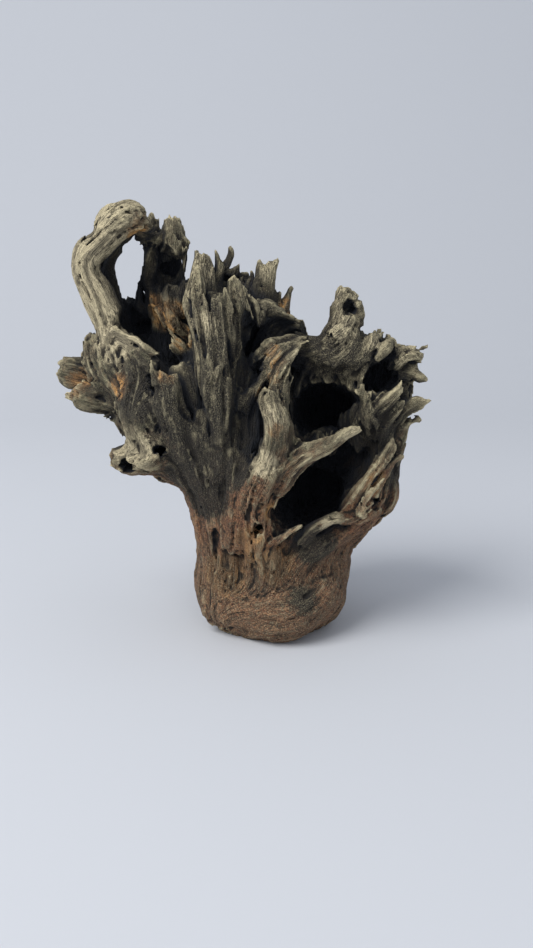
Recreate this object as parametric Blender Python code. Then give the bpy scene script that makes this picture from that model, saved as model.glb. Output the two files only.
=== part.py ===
"""A weathered driftwood stump, modelled as one closed solid.

A short trunk on a rounded foot opens into an arm with a ring on the left, a fluted crown in the middle and
a hollow shell on the right. The wood is a field of distances in millimetres: tapered limbs melt together,
hollows are carved out of them, and the grain raises ribs and sinks cracks along every limb. The skin of
that field becomes the mesh. +X is right, +Y is back and +Z is up; the origin is on the flat spot below.
"""
import math
from concurrent.futures import ThreadPoolExecutor

import bmesh
import bpy
import numpy as np
import openvdb

# Driving dimensions
HEIGHT = 0.277            # metres, floor to the top of the ring
DRAWN_HEIGHT = 277.0      # the same height in the millimetres that the limbs are drawn in
METRES = HEIGHT / DRAWN_HEIGHT
LOW_CORNER = (-156.0, -74.0, -7.0)
HIGH_CORNER = (100.0, 88.0, 290.0)

# Mesh
GRID_STEP = 2.0           # millimetres between samples of the field
TRIANGLES = 9600
FLAT_SNAP = 0.4           # points this close to the floor lie on it
OUTSIDE = 30.0            # the field's value far from the wood
BELOW = -1.0              # seen from above, the floor is the lowest place

# Grain, in millimetres
RELIEF_BAND = 5.5         # the grain reaches this far either side of the skin
RELIEF_FADE = 2.0
LUMP_SIZE, LUMP_HEIGHT = 22.0, 1.1
KNOB_SIZE, KNOB_HEIGHT = 9.0, 0.45
FLUTE_WIDTH, FLUTE_LENGTH, FLUTE_HEIGHT = 5.0, 60.0, 1.0
RIB_WIDTH, RIB_LENGTH, RIB_HEIGHT = 2.6, 40.0, 0.5
CREST, CREST_SPREAD = 0.8, 1.6    # crests are sharp and the dips between them wide
SPLINTER_HEIGHT = 2.7             # how far broken ends stand out in splinters
CRACK_WIDTH, CRACK_LENGTH, CRACK_DEPTH = 2.4, 60.0, 2.0
CRACK_START, CRACK_RAMP = 1.2, 0.5
FLOW_STEP = 5.0
FLOW_REACH = 4.0
CHUNK = 40000
THREADS = 4

# The gap between the ring and the crown, in millimetres
GAP_LOW, GAP_HIGH, GAP_STEP = 228, 262, 2
GAP_RADIUS = 1.9
GAP_MIDDLE, GAP_LEAN = -61.2, 0.15

# Material
WOOD_COLOUR = (0.135, 0.110, 0.078, 1.0)
WOOD_ROUGHNESS = 0.85


class Wood:
    """The limbs and hollows of the piece, in the order in which they are made."""

    def __init__(self):
        self.strokes = []

    def limb(self, *points, blend=4.0, thin=None, rough=1.0):
        """Add a tapered limb through points (x, y, z, radius); thin is (nx, ny, nz, times flatter)."""
        self.strokes.append((False, np.array(points, float), blend, thin, rough))

    def hollow(self, *points, blend=2.0):
        """Carve a tapered hollow through points (x, y, z, radius)."""
        self.strokes.append((True, np.array(points, float), blend, None, 0.0))


def add_foot(wood):
    """The rounded foot that the piece stands on."""
    wood.limb((-9, 0, 22, 36), (-8, 2, 50, 40), blend=8, rough=0.4)
    wood.limb((-40, -4, 36, 19.5), (-37, -3, 45, 20.5), blend=8, rough=0.4)
    wood.limb((14.5, -2, 25, 25.5), (20, 0, 45, 25.5), blend=8, rough=0.4)
    wood.limb((-18, -22, 23, 20.5), (0, -27, 21, 22), (18, -18, 30, 20), blend=8, rough=0.4)
    wood.limb((-20, 22, 24, 24), (6, 24, 30, 26), blend=8, rough=0.6)


def add_trunk(wood):
    """The short trunk and the mass behind the crown and the shell."""
    wood.limb((-8, 4, 40, 38), (-6, 6, 75, 40), (-2, 6, 112, 36), blend=10, rough=0.8)
    wood.limb((-35, -10, 25, 22.5), (-36, -14, 55, 20.5), (-39, -18, 83, 21), (-42, -20, 106, 21.5),
              (-49, -20, 127, 20), blend=8, rough=0.7)
    wood.limb((19, 0, 23, 23), (21, 0, 47, 22.5), (26, 2, 63, 22.5), (38, 6, 83, 25.5), (45, 8, 104, 26.5),
              blend=8, rough=0.6)
    wood.limb((0, 24, 36, 30.5), (2, 30, 78, 34.5), (2, 34, 119, 33), (-5, 32, 158, 25.5), blend=10)


def add_back(wood):
    """Old roots that run up the back, with two worn hollows between them."""
    wood.limb((-44, 30, 30, 14), (-42, 40, 70, 15), (-50, 44, 120, 16), (-62, 40, 150, 14),
              (-70, 34, 170, 10), blend=7)
    wood.limb((-12, 44, 26, 15), (-16, 56, 70, 14), (-20, 62, 115, 14), (-28, 58, 155, 13),
              (-34, 46, 190, 9), (-38, 36, 212, 6), blend=6)
    wood.limb((20, 38, 30, 15), (24, 52, 70, 14), (26, 60, 110, 14), (22, 58, 145, 12), (12, 46, 178, 9),
              (8, 38, 196, 5), blend=6)
    wood.limb((30, 26, 40, 13), (44, 42, 84, 13), (56, 44, 120, 13), (60, 38, 150, 11), (62, 26, 172, 8),
              blend=6)
    wood.hollow((4, 84, 128, 15), (2, 66, 126, 13), (0, 54, 124, 9), blend=6)
    wood.hollow((-46, 74, 138, 12), (-44, 58, 132, 9), (-40, 50, 128, 6), blend=5)
    wood.limb((26, 26, 65, 29), (38, 30, 99, 30), (39, 30, 127, 30), (35, 26, 152, 26.5),
              (36, 16, 170, 19.5), blend=10)


def add_panel(wood):
    """The fluted panel at the front of the crown, and the smooth valley on its right."""
    wood.limb((-30, -34, 115, 12.5), (-25, -36, 134, 11.5), (-24, -36, 150, 10.5), (-20, -34, 162, 8.5),
              blend=8, rough=0.6)
    wood.limb((-40, -28, 122, 19), (-36, -29, 145, 17), (-38, -29, 163, 16), (-43, -24, 188, 15),
              (-45, -16, 207, 13), blend=7, rough=0.9)
    wood.limb((-58, -8, 140, 16), (-56, -3, 163, 13), (-54, 2, 183, 10), blend=6, rough=0.9)
    wood.limb((-30, -26, 154, 12.5), (-29, -22, 169, 9.5), (-29, -14, 187, 7), (-28, -10, 202, 7),
              (-24, -4, 213, 6), blend=5, rough=0.9)
    # Flutes from the left edge to the right, each ending in a point at the jagged top
    wood.limb((-40, -44, 138, 2), (-42, -46, 156, 4), (-47, -46, 179, 4), (-53, -43, 199, 3.5),
              (-57, -38, 211, 3), (-60, -35, 216, 1.5), blend=4, rough=0.8)
    wood.limb((-50, -38, 190, 4), (-54, -34, 204, 4), (-56, -25, 217, 4), (-56, -15, 228, 3), blend=4,
              rough=0.8)
    wood.limb((-41, -46, 140, 2), (-45, -50, 166, 3.5), (-47, -50, 191, 4), (-50, -45, 209, 4),
              (-52, -34, 224, 4), (-53, -20, 236, 2.5), blend=4, rough=0.8)
    wood.limb((-40, -47, 138, 2), (-42, -51, 159, 3), (-42, -51, 181, 3), (-44, -48, 203, 3),
              (-47, -44, 218, 2.5), (-49, -40, 228, 0.8), blend=3, rough=0.8)
    wood.limb((-37, -46, 134, 2), (-38, -50, 155, 3), (-39, -50, 181, 3), (-41, -48, 203, 2.5),
              (-43, -44, 217, 2.5), (-45, -40, 229, 0.8), blend=3, rough=0.8)
    wood.limb((-34, -45, 130, 2), (-34, -49, 149, 3.5), (-35, -50, 180, 3.5), (-37, -48, 203, 3),
              (-39, -45, 217, 2.5), (-40, -41, 228, 0.8), blend=3, rough=0.8)
    wood.limb((-32, -42, 189, 3), (-34, -43, 207, 3.5), (-35, -41, 219, 3), (-36, -38, 226, 2),
              (-36, -36, 229, 1), blend=3, rough=0.9)
    wood.limb((-17, -28, 203, 1.5), (-22, -30, 210, 2), (-26, -30, 219, 2.5), (-29, -28, 227, 2),
              (-29, -27, 233, 0.8), blend=5)
    wood.limb((-12, -22, 207, 1.5), (-17, -23, 213, 2), (-21, -23, 218, 2), (-24, -21, 223, 0.8), blend=5)
    wood.limb((-32, -38, 196, 4), (-30, -34, 210, 4.5), (-31, -30, 220, 4), (-32, -27, 227, 2), blend=4,
              rough=0.8)
    wood.limb((-38, -46, 139, 5), (-34, -46, 160, 4), (-32, -41, 177, 3.5), (-29, -36, 191, 3), blend=2.5,
              rough=0.8)
    # The curled lip across the flutes
    wood.limb((-46, -53, 160, 1.2), (-46, -55, 170, 1.2), (-42, -56, 177, 1.2), (-35, -54, 184, 0.8),
              blend=3, rough=0.5)
    for crack in (((-46, -54, 166, 1), (-47, -54, 188, 1.2), (-51, -50, 209, 1.2), (-55, -44, 224, 1)),
                  ((-41, -54, 160, 1), (-41, -54, 182, 1.4), (-43, -52, 205, 1.4), (-46, -46, 224, 1)),
                  ((-37, -53, 172, 0.8), (-37, -53, 192, 1.4), (-39, -50, 210, 1.4), (-42, -45, 226, 1)),
                  ((-33, -50, 168, 1), (-33, -50, 190, 1.4), (-35, -47, 208, 1.4), (-38, -44, 224, 1))):
        wood.hollow(*crack, blend=1)
    wood.hollow((-26, -61, 122, 8.5), (-23, -59, 137, 12.5), (-21, -57, 153, 12.5), (-21, -55, 164, 8),
                blend=5)


def add_column(wood):
    """The root that climbs the front, and the double ridge that leaves its top for the crown."""
    wood.limb((-13, -20, 21, 14.5), (-12, -33, 54, 11.5), (-18, -42, 82, 11), (-18, -48, 101, 9),
              (-12, -52, 119, 7.5), (-7, -54, 135, 7.5), (-6, -54, 149, 7), (-10, -52, 161, 6.5),
              (-11, -52, 165, 4.5), blend=5, rough=0.8)
    wood.limb((-33, -36, 70, 7.5), (-30, -42, 88, 7.5), (-25, -46, 106, 6.5), (-16, -49, 122, 5), blend=6,
              rough=0.8)
    wood.limb((-1, -52, 134, 5), (-7, -50, 116, 5), (-13, -47, 100, 5), (-13, -43, 85, 5),
              (-10, -40, 74, 5), blend=3, rough=0.6)
    wood.limb((-24, -42, 159, 6.5), (-17, -42, 170, 6), (-9, -38, 181, 5.5), (1, -30, 190, 5),
              (9, -24, 195, 4.5), blend=4)
    wood.limb((-1, -50, 149, 5), (-6, -48, 162, 4), (-5, -45, 173, 4), (2, -38, 182, 4),
              (11, -30, 191, 3.5), blend=2.5)


def add_crown(wood):
    """The broken spikes and blades behind the panel."""
    # The broad left blade, in three fingers
    wood.limb((-51, -8, 205, 8.5), (-53, -6, 223, 7.5), (-54, -4, 235, 6.5), (-53, -2, 242, 5.5),
              (-53, -2, 244, 3.5), blend=3, thin=(0, 1, 0, 1.3), rough=0.3)
    wood.limb((-46, -4, 217, 5), (-47, -2, 229, 4.5), (-47, 0, 238, 4), (-48, 0, 243, 3), rough=0.3,
              blend=2)
    wood.limb((-57, -10, 213, 5), (-57, -8, 226, 4.5), (-55, -4, 235, 3.5), (-54, -3, 241, 2.5), blend=2,
              rough=0.3)
    # The thin spike, the hooked one and the bar over its window
    wood.limb((-43, 2, 212, 6.5), (-44, 4, 225, 5), (-41, 5, 236, 4), (-42, 6, 242, 3), (-43, 6, 246, 2),
              blend=2.5, rough=0.4)
    wood.limb((-40, 10, 225, 4), (-39, 12, 233, 3.5), (-36, 12, 239, 3), (-34, 11, 244, 3),
              (-34, 10, 247, 2.5), blend=2, rough=0.3)
    wood.limb((-40, 9, 234, 2.5), (-35, 9, 233, 2.5), (-30, 9, 236, 2), (-29, 9, 237, 1.5), rough=0.3,
              blend=1.5)
    wood.limb((-28, 12, 215, 4.5), (-28, 12, 224, 3), (-29, 10, 233, 2.5), blend=2, rough=0.3)
    # The mass behind, and a small plate on it
    wood.limb((-42, 18, 212, 8), (-36, 18, 223, 8.5), (-29, 17, 227, 7), blend=4)
    wood.limb((-10, 12, 195, 9), (2, 12, 191, 8), (14, 10, 185, 7), blend=4)
    wood.limb((-31, 8, 178, 15.5), (-28, 10, 193, 15.5), (-22, 12, 208, 12), (-19, 10, 217, 7.5),
              (-20, 9, 222, 5), blend=5)
    wood.limb((-22, 8, 214, 7.5), (-22, 8, 223, 5.5), (-20, 8, 228, 3), (-20, 8, 232, 2), blend=2,
              thin=(0, 1, 0, 1.5), rough=0.4)
    # The right blade with two corners
    wood.limb((-13, 4, 209, 8), (-13, 2, 221, 7), (-12, 2, 232, 6.5), (-13, 2, 236, 5), blend=2.5,
              thin=(0, 1, 0, 1.3), rough=0.5)
    wood.limb((-11, 4, 216, 5), (-10, 2, 228, 4), (-8, 2, 236, 3.5), (-6, 2, 240, 2.5), rough=0.5, blend=2)
    wood.limb((-16, 2, 222, 4), (-16, 2, 232, 3), (-16, 2, 237, 2), blend=2, rough=0.4)
    # The low spikes and lumps at the right end
    wood.limb((-3, 8, 202, 7), (-1, 10, 211, 5.5), (2, 11, 217, 3.5), (4, 12, 222, 2.5), blend=2.5,
              rough=0.4)
    wood.limb((-5, 6, 205, 5.5), (-5, 6, 215, 4), (-4, 6, 219, 3), blend=2, rough=0.4)
    wood.limb((-12, -6, 187, 10), (-6, -4, 198, 9.5), (0, -2, 202, 8), (4, -2, 201, 6.5), rough=0.8)
    wood.limb((-14, -30, 186, 5.5), (-7, -28, 192, 6), (2, -22, 193, 6), (10, -16, 191, 5.5),
              (16, -14, 190, 5), rough=0.8)
    wood.limb((-18, -16, 210, 6), (-12, -14, 213, 6), (-5, -12, 210, 5.5), (2, -10, 205, 5), blend=3,
              rough=0.8)


def add_arm(wood):
    """The thick arm on the left, from the trunk up to the ring."""
    wood.limb((-45, -18, 111, 19), (-62, -18, 130, 21.5), (-78, -18, 153, 20.5), (-94, -16, 169, 18.5),
              (-106, -12, 186, 13.5), blend=10, rough=0.7)
    wood.limb((-98, -16, 168, 16), (-105, -14, 190, 11), (-109, -14, 205, 10), (-115, -14, 220, 10),
              (-121, -14, 234, 8.5), (-120, -13, 244, 8.5), (-111, -12, 252, 8), (-103, -10, 261, 8.5),
              blend=6, rough=0.6)
    wood.limb((-106, 2, 191, 9), (-109, 4, 210, 7.5), (-113, 6, 225, 7), (-113, 7, 239, 7),
              (-106, 6, 250, 6.5), (-99, 4, 258, 6), blend=5, rough=0.7)
    wood.limb((-106, 18, 196, 6.5), (-111, 18, 218, 5), (-113, 17, 235, 5), (-106, 15, 247, 5), blend=5)
    wood.limb((-92, -16, 154, 15), (-86, -16, 138, 13.5), (-69, -16, 120, 15.5), blend=8)


def add_ring(wood):
    """The knob that closes the ring, its bridge, the posts on the right and the wall behind them."""
    wood.limb((-105, -12, 262, 8.5), (-99, -12, 265, 9), (-94, -10, 266, 8), (-90, -8, 267, 4.5), blend=5,
              rough=0.7)
    wood.limb((-109, -10, 258, 5), (-108, -10, 264, 6), (-107, -10, 268, 5.5), blend=2.5)
    wood.limb((-106, -8, 268, 5.5), (-100, -6, 271, 5.5), (-95, -5, 270, 5.5), (-91, -4, 269, 4), blend=3)
    wood.limb((-96, -8, 261, 5.5), (-89, -8, 264, 4.5), (-86, -4, 261, 3.5), blend=3)
    # The bridge and the knobs on it
    wood.limb((-91, 0, 259, 5.5), (-86, 2, 255, 5.5), (-79, 3, 254, 5), (-71, 2, 254, 5.5),
              (-65, 0, 249, 5), blend=3)
    wood.limb((-84, 8, 253, 5.5), (-84, 12, 260, 4.5), (-84, 12, 264, 2.5), blend=3)
    wood.limb((-69, -2, 249, 6), (-70, -2, 257, 5.5), (-71, -2, 262, 4.5), (-71, -2, 266, 2), blend=3)
    wood.limb((-66, 2, 251, 4), (-66, 2, 258, 3), (-67, 2, 262, 2), blend=2)
    # The right post, the brown left post and its flake
    wood.limb((-66, 8, 212, 5.5), (-63, 4, 226, 3), (-63, 0, 240, 3.5), (-64, -2, 248, 4.5), rough=0.6)
    wood.limb((-88, 18, 203, 8), (-84, 15, 215, 6), (-87, 12, 228, 5.5), (-85, 8, 239, 5),
              (-84, 6, 247, 5.5), blend=3, rough=0.9)
    wood.limb((-93, 16, 212, 4.5), (-92, 15, 223, 3.5), (-91, 13, 232, 2.5), (-89, 12, 239, 2), blend=2,
              rough=0.3)
    # The wall behind, and the lump in front of it
    wood.limb((-74, 26, 185, 14.5), (-76, 26, 203, 13), (-75, 24, 220, 11), (-75, 22, 236, 9.5),
              (-75, 16, 249, 7.5), blend=5, rough=0.6)
    wood.limb((-89, 28, 180, 12), (-95, 28, 196, 10.5), (-99, 26, 207, 7), (-101, 24, 212, 5), blend=5,
              rough=0.5)
    wood.limb((-78, 24, 208, 8), (-88, 22, 213, 6), (-92, 20, 221, 3.5), blend=3, rough=0.9)
    wood.limb((-76, 14, 200, 6.5), (-73, 8, 211, 6), (-75, 6, 218, 5.5), (-71, 7, 223, 3), blend=4)
    wood.limb((-64, 8, 190, 6), (-70, 4, 199, 5), (-77, 4, 208, 4), (-84, 6, 214, 3), blend=3)
    wood.limb((-58, 0, 178, 5), (-66, -4, 187, 4), (-76, -6, 194, 3), (-84, -6, 201, 2), blend=3)


def add_arm_rim(wood):
    """The thin curled edge along the top of the arm's front face."""
    wood.limb((-99, -24, 194, 5), (-92, -30, 188, 5), (-84, -34, 183, 5), (-78, -38, 181, 3), blend=5,
              rough=0.5)
    wood.limb((-104, -24, 201, 2.5), (-96, -29, 197, 2.5), (-88, -34, 195, 2.2), (-82, -37, 190, 2.2),
              (-77, -39, 188, 1.5), blend=2.5, rough=0.3)


def add_lobe(wood):
    """The square plate and the burl that stand out on the far left."""
    wood.limb((-107, -12, 160, 12.5), (-116, -12, 176, 9.5), (-119, -10, 187, 7.5), blend=6)
    wood.limb((-117, -4, 171, 7.5), (-127, -4, 175, 6.5), (-136, -4, 177, 5.5), (-139, -4, 177, 4.5),
              blend=5, thin=(0.2, 1, 0, 1.3), rough=0.7)
    wood.limb((-118, -4, 164, 7.5), (-128, -4, 169, 5.5), (-136, -4, 170, 5), (-140, -4, 171, 4.5), blend=5,
              thin=(0.2, 1, 0, 1.3), rough=0.7)
    wood.limb((-115, -4, 160, 6.5), (-126, -4, 164, 4), (-135, -4, 164, 4), (-138, -4, 165, 4), blend=5,
              rough=0.7)
    wood.limb((-102, -14, 154, 10.5), (-113, -16, 154, 8.5), (-122, -16, 155, 8), (-128, -16, 157, 6),
              (-130, -16, 157, 4.5))
    wood.limb((-111, -22, 164, 3), (-117, -23, 162, 3), (-125, -20, 163, 2.5), blend=3)


def add_low_burl(wood):
    """The hollow-ended burl low on the left."""
    wood.limb((-68, -20, 123, 16.5), (-82, -26, 123, 13), (-91, -28, 123, 11.5), (-97, -28, 121, 10.5),
              (-101, -28, 121, 8.5), blend=6, rough=0.45)
    wood.limb((-106, -14, 150, 8), (-98, -18, 143, 9), (-90, -22, 134, 10), blend=5, rough=0.5)
    wood.limb((-90, -24, 133, 5.5), (-95, -24, 133, 4))
    wood.limb((-76, -42, 123, 3.5), (-82, -42, 120, 3.5), (-87, -41, 122, 2.5), blend=3)


def add_leaves(wood):
    """Thin plates that lie like leaves between the arm and the panel."""
    wood.limb((-58, -30, 118, 13), (-63, -35, 134, 13), (-68, -42, 150, 9), blend=8, rough=0.6)
    wood.limb((-68, -44, 145, 9.5), (-71, -48, 157, 8), (-71, -49, 168, 7), (-74, -49, 174, 4), blend=2,
              thin=(0.3, 1, 0, 2.2), rough=0.8)
    wood.limb((-76, -49, 172, 2.5), (-79, -49, 181, 1.2), (-81, -47, 190, 0.8), blend=2, rough=0.5)
    wood.limb((-88, -32, 176, 9), (-88, -34, 160, 10), (-88, -34, 146, 11), (-78, -34, 130, 11), blend=9,
              rough=0.6)
    wood.limb((-62, -42, 150, 5.5), (-65, -46, 160, 4.5), (-66, -48, 168, 3.5), (-67, -48, 175, 1.5),
              blend=1.5, thin=(0.3, 1, 0, 1.8), rough=0.8)
    wood.limb((-58, -30, 142, 11), (-59, -37, 158, 9.5), (-60, -39, 167, 9), (-63, -39, 174, 7),
              (-66, -38, 180, 3), blend=2, thin=(0.2, 1, 0, 2.4), rough=0.4)
    wood.limb((-58, -32, 160, 5), (-57, -33, 170, 4), (-58, -33, 178, 2), blend=1.5, thin=(0.2, 1, 0, 1.8),
              rough=0.7)
    wood.limb((-50, -38, 124, 11), (-53, -42, 138, 9.5), (-51, -43, 147, 6.5), (-48, -42, 152, 3), blend=3,
              thin=(0.2, 1, 0, 1.8), rough=0.7)


def add_shell(wood):
    """The shell on the right before it is hollowed, with its raised rim."""
    wood.limb((32, 6, 79, 25.5), (39, 6, 98, 32), (40, 6, 121, 34.5), (39, 6, 149, 34), blend=10)
    wood.limb((39, 2, 150, 32.5), (36, 0, 166, 27), (34, -2, 175, 20.5), blend=8)
    wood.limb((57, 4, 152, 22), (62, 2, 167, 19), (66, 0, 173, 15.5), blend=8)
    wood.limb((7, -46, 120, 6), (0, -50, 137, 5), (-1, -50, 152, 5), (-2, -47, 166, 4), (2, -43, 178, 4),
              (11, -38, 188, 4), (21, -32, 194, 4), (32, -24, 199, 5))


def carve_shell(wood):
    """The two deep hollows of the shell, the pocket beside the upper one and the scoop at the right."""
    wood.hollow((15, -60, 176, 17.5), (23, -40, 177, 20), (31, -28, 177, 18), (50, -34, 181, 10), blend=3)
    wood.hollow((21, -64, 160, 21.5), (23, -34, 154, 20.5), (24, -4, 148, 20), (27, 18, 143, 16.5),
                blend=2.5)
    wood.hollow((34, -52, 155, 14), (34, -30, 153, 14), (32, -4, 150, 14), blend=2.5)
    wood.hollow((56, -54, 174, 14), (59, -32, 172, 13), (59, -8, 168, 11), blend=2)
    wood.hollow((39, -66, 137, 25.5), (39, -44, 128, 26), (39, -20, 120, 22), (35, 6, 113, 14.5), blend=5)
    wood.hollow((14, -64, 104, 23.5), (15, -36, 96, 24), (17, -8, 92, 22), (21, 16, 91, 17), blend=2.5)
    wood.hollow((38, -56, 116, 15), (39, -34, 113, 15), (34, -8, 106, 14), blend=4)


def add_strut(wood):
    """The pointed strut in front of the shell, and the ledge behind it that parts the hollows."""
    wood.limb((8, -42, 128, 5.5), (20, -24, 128, 5.5), (30, 2, 126, 6.5), blend=5, rough=0.5)
    wood.limb((-4, -48, 107, 5.5), (1, -50, 120, 8), (9, -52, 127, 7.5), (18, -53, 131, 6.5),
              (28, -54, 136, 5.5), (36, -55, 142, 4), (44, -56, 146, 2), blend=3, thin=(0, 1, 0.2, 1.25),
              rough=0.9)
    wood.limb((-9, -46, 96, 4), (-4, -45, 108, 4), (3, -46, 118, 5), blend=3)


def add_finial(wood):
    """The knob with a hole that stands on top of the shell."""
    wood.limb((33, -14, 192, 13), (35, -14, 201, 9.5), (37, -14, 209, 9.5), (37, -14, 215, 7.5),
              (35, -14, 221, 4), (34, -14, 225, 1.5), blend=5, rough=0.6)
    wood.limb((31, -14, 212, 3.5), (38, -16, 217, 4.5), (43, -14, 212, 4.5), (44, -14, 206, 4), blend=3,
              rough=0.6)
    wood.hollow((41, -34, 214, 4.5), (41, -24, 213, 5.5), (40, -17, 213, 4.5))


def add_roof(wood):
    """The smooth worn roof of the upper hollow, below the knob."""
    wood.limb((10, -12, 186, 5), (22, -18, 186, 6.5), (35, -21, 184, 7), (46, -20, 181, 5.5), blend=6,
              rough=0.2)
    wood.limb((8, -6, 179, 5), (20, -11, 177, 6), (32, -13, 176, 6), (44, -15, 176, 5), blend=6, rough=0.2)


def add_right_top(wood):
    """Ridges, lumps and spurs along the shell's right shoulder."""
    wood.limb((44, -22, 185, 3.5), (42, -20, 189, 4.5), (40, -16, 194, 5.5), blend=4, rough=0.4)
    wood.limb((50, -24, 184, 3), (53, -20, 188, 4.5), (54, -14, 192, 5), (58, -6, 194, 3), blend=3,
              rough=0.7)
    wood.limb((59, -25, 186, 3), (62, -22, 188, 4.5), (64, -16, 190, 3.5), blend=3, rough=0.7)
    wood.limb((60, 4, 184, 8.5), (61, 6, 190, 5))
    wood.limb((71, -12, 180, 7), (74, -14, 184, 6), (78, -14, 185, 5))
    wood.limb((73, -2, 185, 5.5), (76, -2, 187, 4), blend=3)
    # The stalk, the edge below it and the spur
    wood.limb((80, -6, 184, 2.5), (85, -6, 186, 1.5), (88, -6, 188, 2), blend=2, rough=0.3)
    wood.limb((80, -12, 181, 3.5), (80, -12, 176, 3), (78, -12, 171, 4), blend=3)
    wood.limb((75, -10, 172, 5), (79, -14, 171, 3.5), (85, -16, 169, 2.5), blend=3, rough=0.6)
    wood.limb((77, 2, 171, 6), (79, 2, 160, 5), (78, 2, 149, 7))
    wood.limb((79, -4, 163, 4), (82, -4, 161, 2), blend=2)


def add_shards(wood):
    """The shell's right wall, the shards nested in it and its lower lip."""
    wood.limb((44, -2, 137, 9.5), (51, -16, 148, 8), (60, -26, 156, 6.5), (68, -32, 164, 3.5),
              (70, -34, 168, 1.5), blend=2, thin=(0.5, 1, 0.35, 1.8))
    wood.limb((49, -2, 127, 9.5), (58, -14, 140, 7.5), (67, -22, 150, 5.5), (74, -26, 157, 2.5), blend=2,
              thin=(0.5, 1, 0.35, 1.8))
    wood.limb((64, -8, 139, 7.5), (72, -14, 148, 6.5), (79, -18, 153, 5), (84, -20, 156, 3.5),
              (87, -20, 157, 2), blend=2, thin=(0.5, 1, 0.35, 1.6))
    wood.limb((65, -4, 123, 9), (72, -8, 132, 6.5), (77, -12, 139, 4), (82, -14, 142, 2), blend=2,
              thin=(0.5, 1, 0.35, 1.5))
    wood.limb((56, 2, 77, 9), (64, 2, 91, 7), (68, -2, 108, 6.5), (72, -4, 123, 6), (75, -4, 130, 4),
              blend=3, thin=(0.8, 1, 0, 1.2))
    wood.limb((41, -30, 89, 6.5), (48, -34, 102, 6.5), (55, -34, 112, 5.5), (62, -30, 121, 4.5),
              (67, -28, 130, 1.5), blend=2, thin=(0.6, 1, 0.2, 2.4))
    wood.limb((47, -38, 88, 5), (54, -42, 101, 4.5), (60, -42, 110, 3), (65, -40, 117, 1), blend=1.5,
              thin=(0.6, 1, 0.2, 2.2))
    wood.limb((53, -28, 94, 4), (60, -28, 107, 3.5), (66, -26, 115, 3), (71, -24, 119, 1.5), blend=1.5)
    wood.limb((66, -6, 82, 4), (70, -6, 90, 4.5), (70, -6, 97, 3.5), blend=2.5)
    # The lip of the lower hollow, and the prong at its left end
    wood.limb((8, -28, 58, 10), (22, -27, 66, 10), (36, -22, 72, 10), (50, -13, 78, 8.5), blend=7,
              rough=0.5)
    wood.limb((10, -38, 71, 4), (17, -40, 79, 4), (27, -38, 84, 4), (37, -34, 84, 4.5), (46, -28, 82, 5),
              (59, -18, 85, 5), blend=5, rough=0.5)
    wood.limb((-8, -45, 71, 4), (-3, -46, 74, 3), (2, -47, 78, 3), (8, -48, 82, 2.5), blend=2.5, rough=0.4)
    wood.hollow((6, -56, 76, 2.2), (8, -42, 76, 2.5), (11, -34, 80, 3), blend=1)


def carve_left(wood):
    """The ring's eye, the pocket beside it, and the gulf and crevice that part the arm from the panel."""
    wood.hollow((-93, -40, 241, 4.7), (-104, 40, 238, 5.7), blend=1.5)
    wood.hollow((-91, -40, 248, 3.4), (-102, 40, 247, 4.3), blend=1.5)
    wood.hollow((-95, -40, 229, 3.9), (-106, 40, 226, 4.7), blend=1.5)
    # The leaning gap between the ring's right post and the crown
    for height in range(GAP_LOW, GAP_HIGH, GAP_STEP):
        across = GAP_MIDDLE + GAP_LEAN * (height - GAP_LOW)
        wood.hollow((across, -30, height, GAP_RADIUS), (across + 1, 30, height + 2, GAP_RADIUS), blend=0.5)
    wood.hollow((-72, -18, 243, 7.5), (-72, -12, 232, 7.5), blend=1.5)
    wood.hollow((-72, -2, 241, 8.5), (-72, 2, 232, 8.5), (-73, 16, 236, 7), blend=1.5)
    wood.hollow((-91, -34, 209, 9), (-93, -8, 205, 9.5), (-94, 8, 202, 9), (-92, 18, 197, 7), blend=2)
    wood.hollow((-81, -30, 197, 7), (-73, -24, 192, 7.5), (-61, -26, 188, 5.5), (-52, -36, 178, 3),
                (-49, -42, 164, 3.5))
    wood.hollow((-79, -12, 193, 8.5), (-75, 4, 189, 9), (-68, 4, 189, 7.5), blend=2)
    # Cracks beside the leaf, and the crevice by the panel's left edge
    wood.hollow((-80, -52, 184, 2.5), (-79, -54, 174, 2), (-77, -54, 167, 2), (-81, -54, 161, 2),
                (-84, -52, 156, 1.8), (-84, -50, 149, 1), blend=0.8)
    wood.hollow((-80, -43, 184, 2.5), (-79, -43, 174, 2), (-77, -43, 167, 2), (-81, -43, 161, 2),
                (-84, -43, 156, 1.8), (-84, -44, 149, 1), blend=0.8)
    wood.hollow((-71, -52, 182, 2.5), (-65, -55, 178, 2.5), (-62, -55, 173, 2.5), (-60, -54, 163, 2),
                blend=1.2)
    wood.hollow((-59, -38, 192, 4), (-53.5, -42, 181, 3.5), (-49, -46, 171, 3), (-50, -48, 162, 2),
                blend=1.5)
    wood.hollow((-63, -24, 193, 5.5), (-56, -26, 183, 4.5), (-51, -32, 172, 3), (-50, -38, 163, 2), blend=1.5)
    wood.hollow((-76, -34, 189, 4), (-68, -36, 186, 4.5), (-61, -30, 183, 5), blend=1.5)


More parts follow.
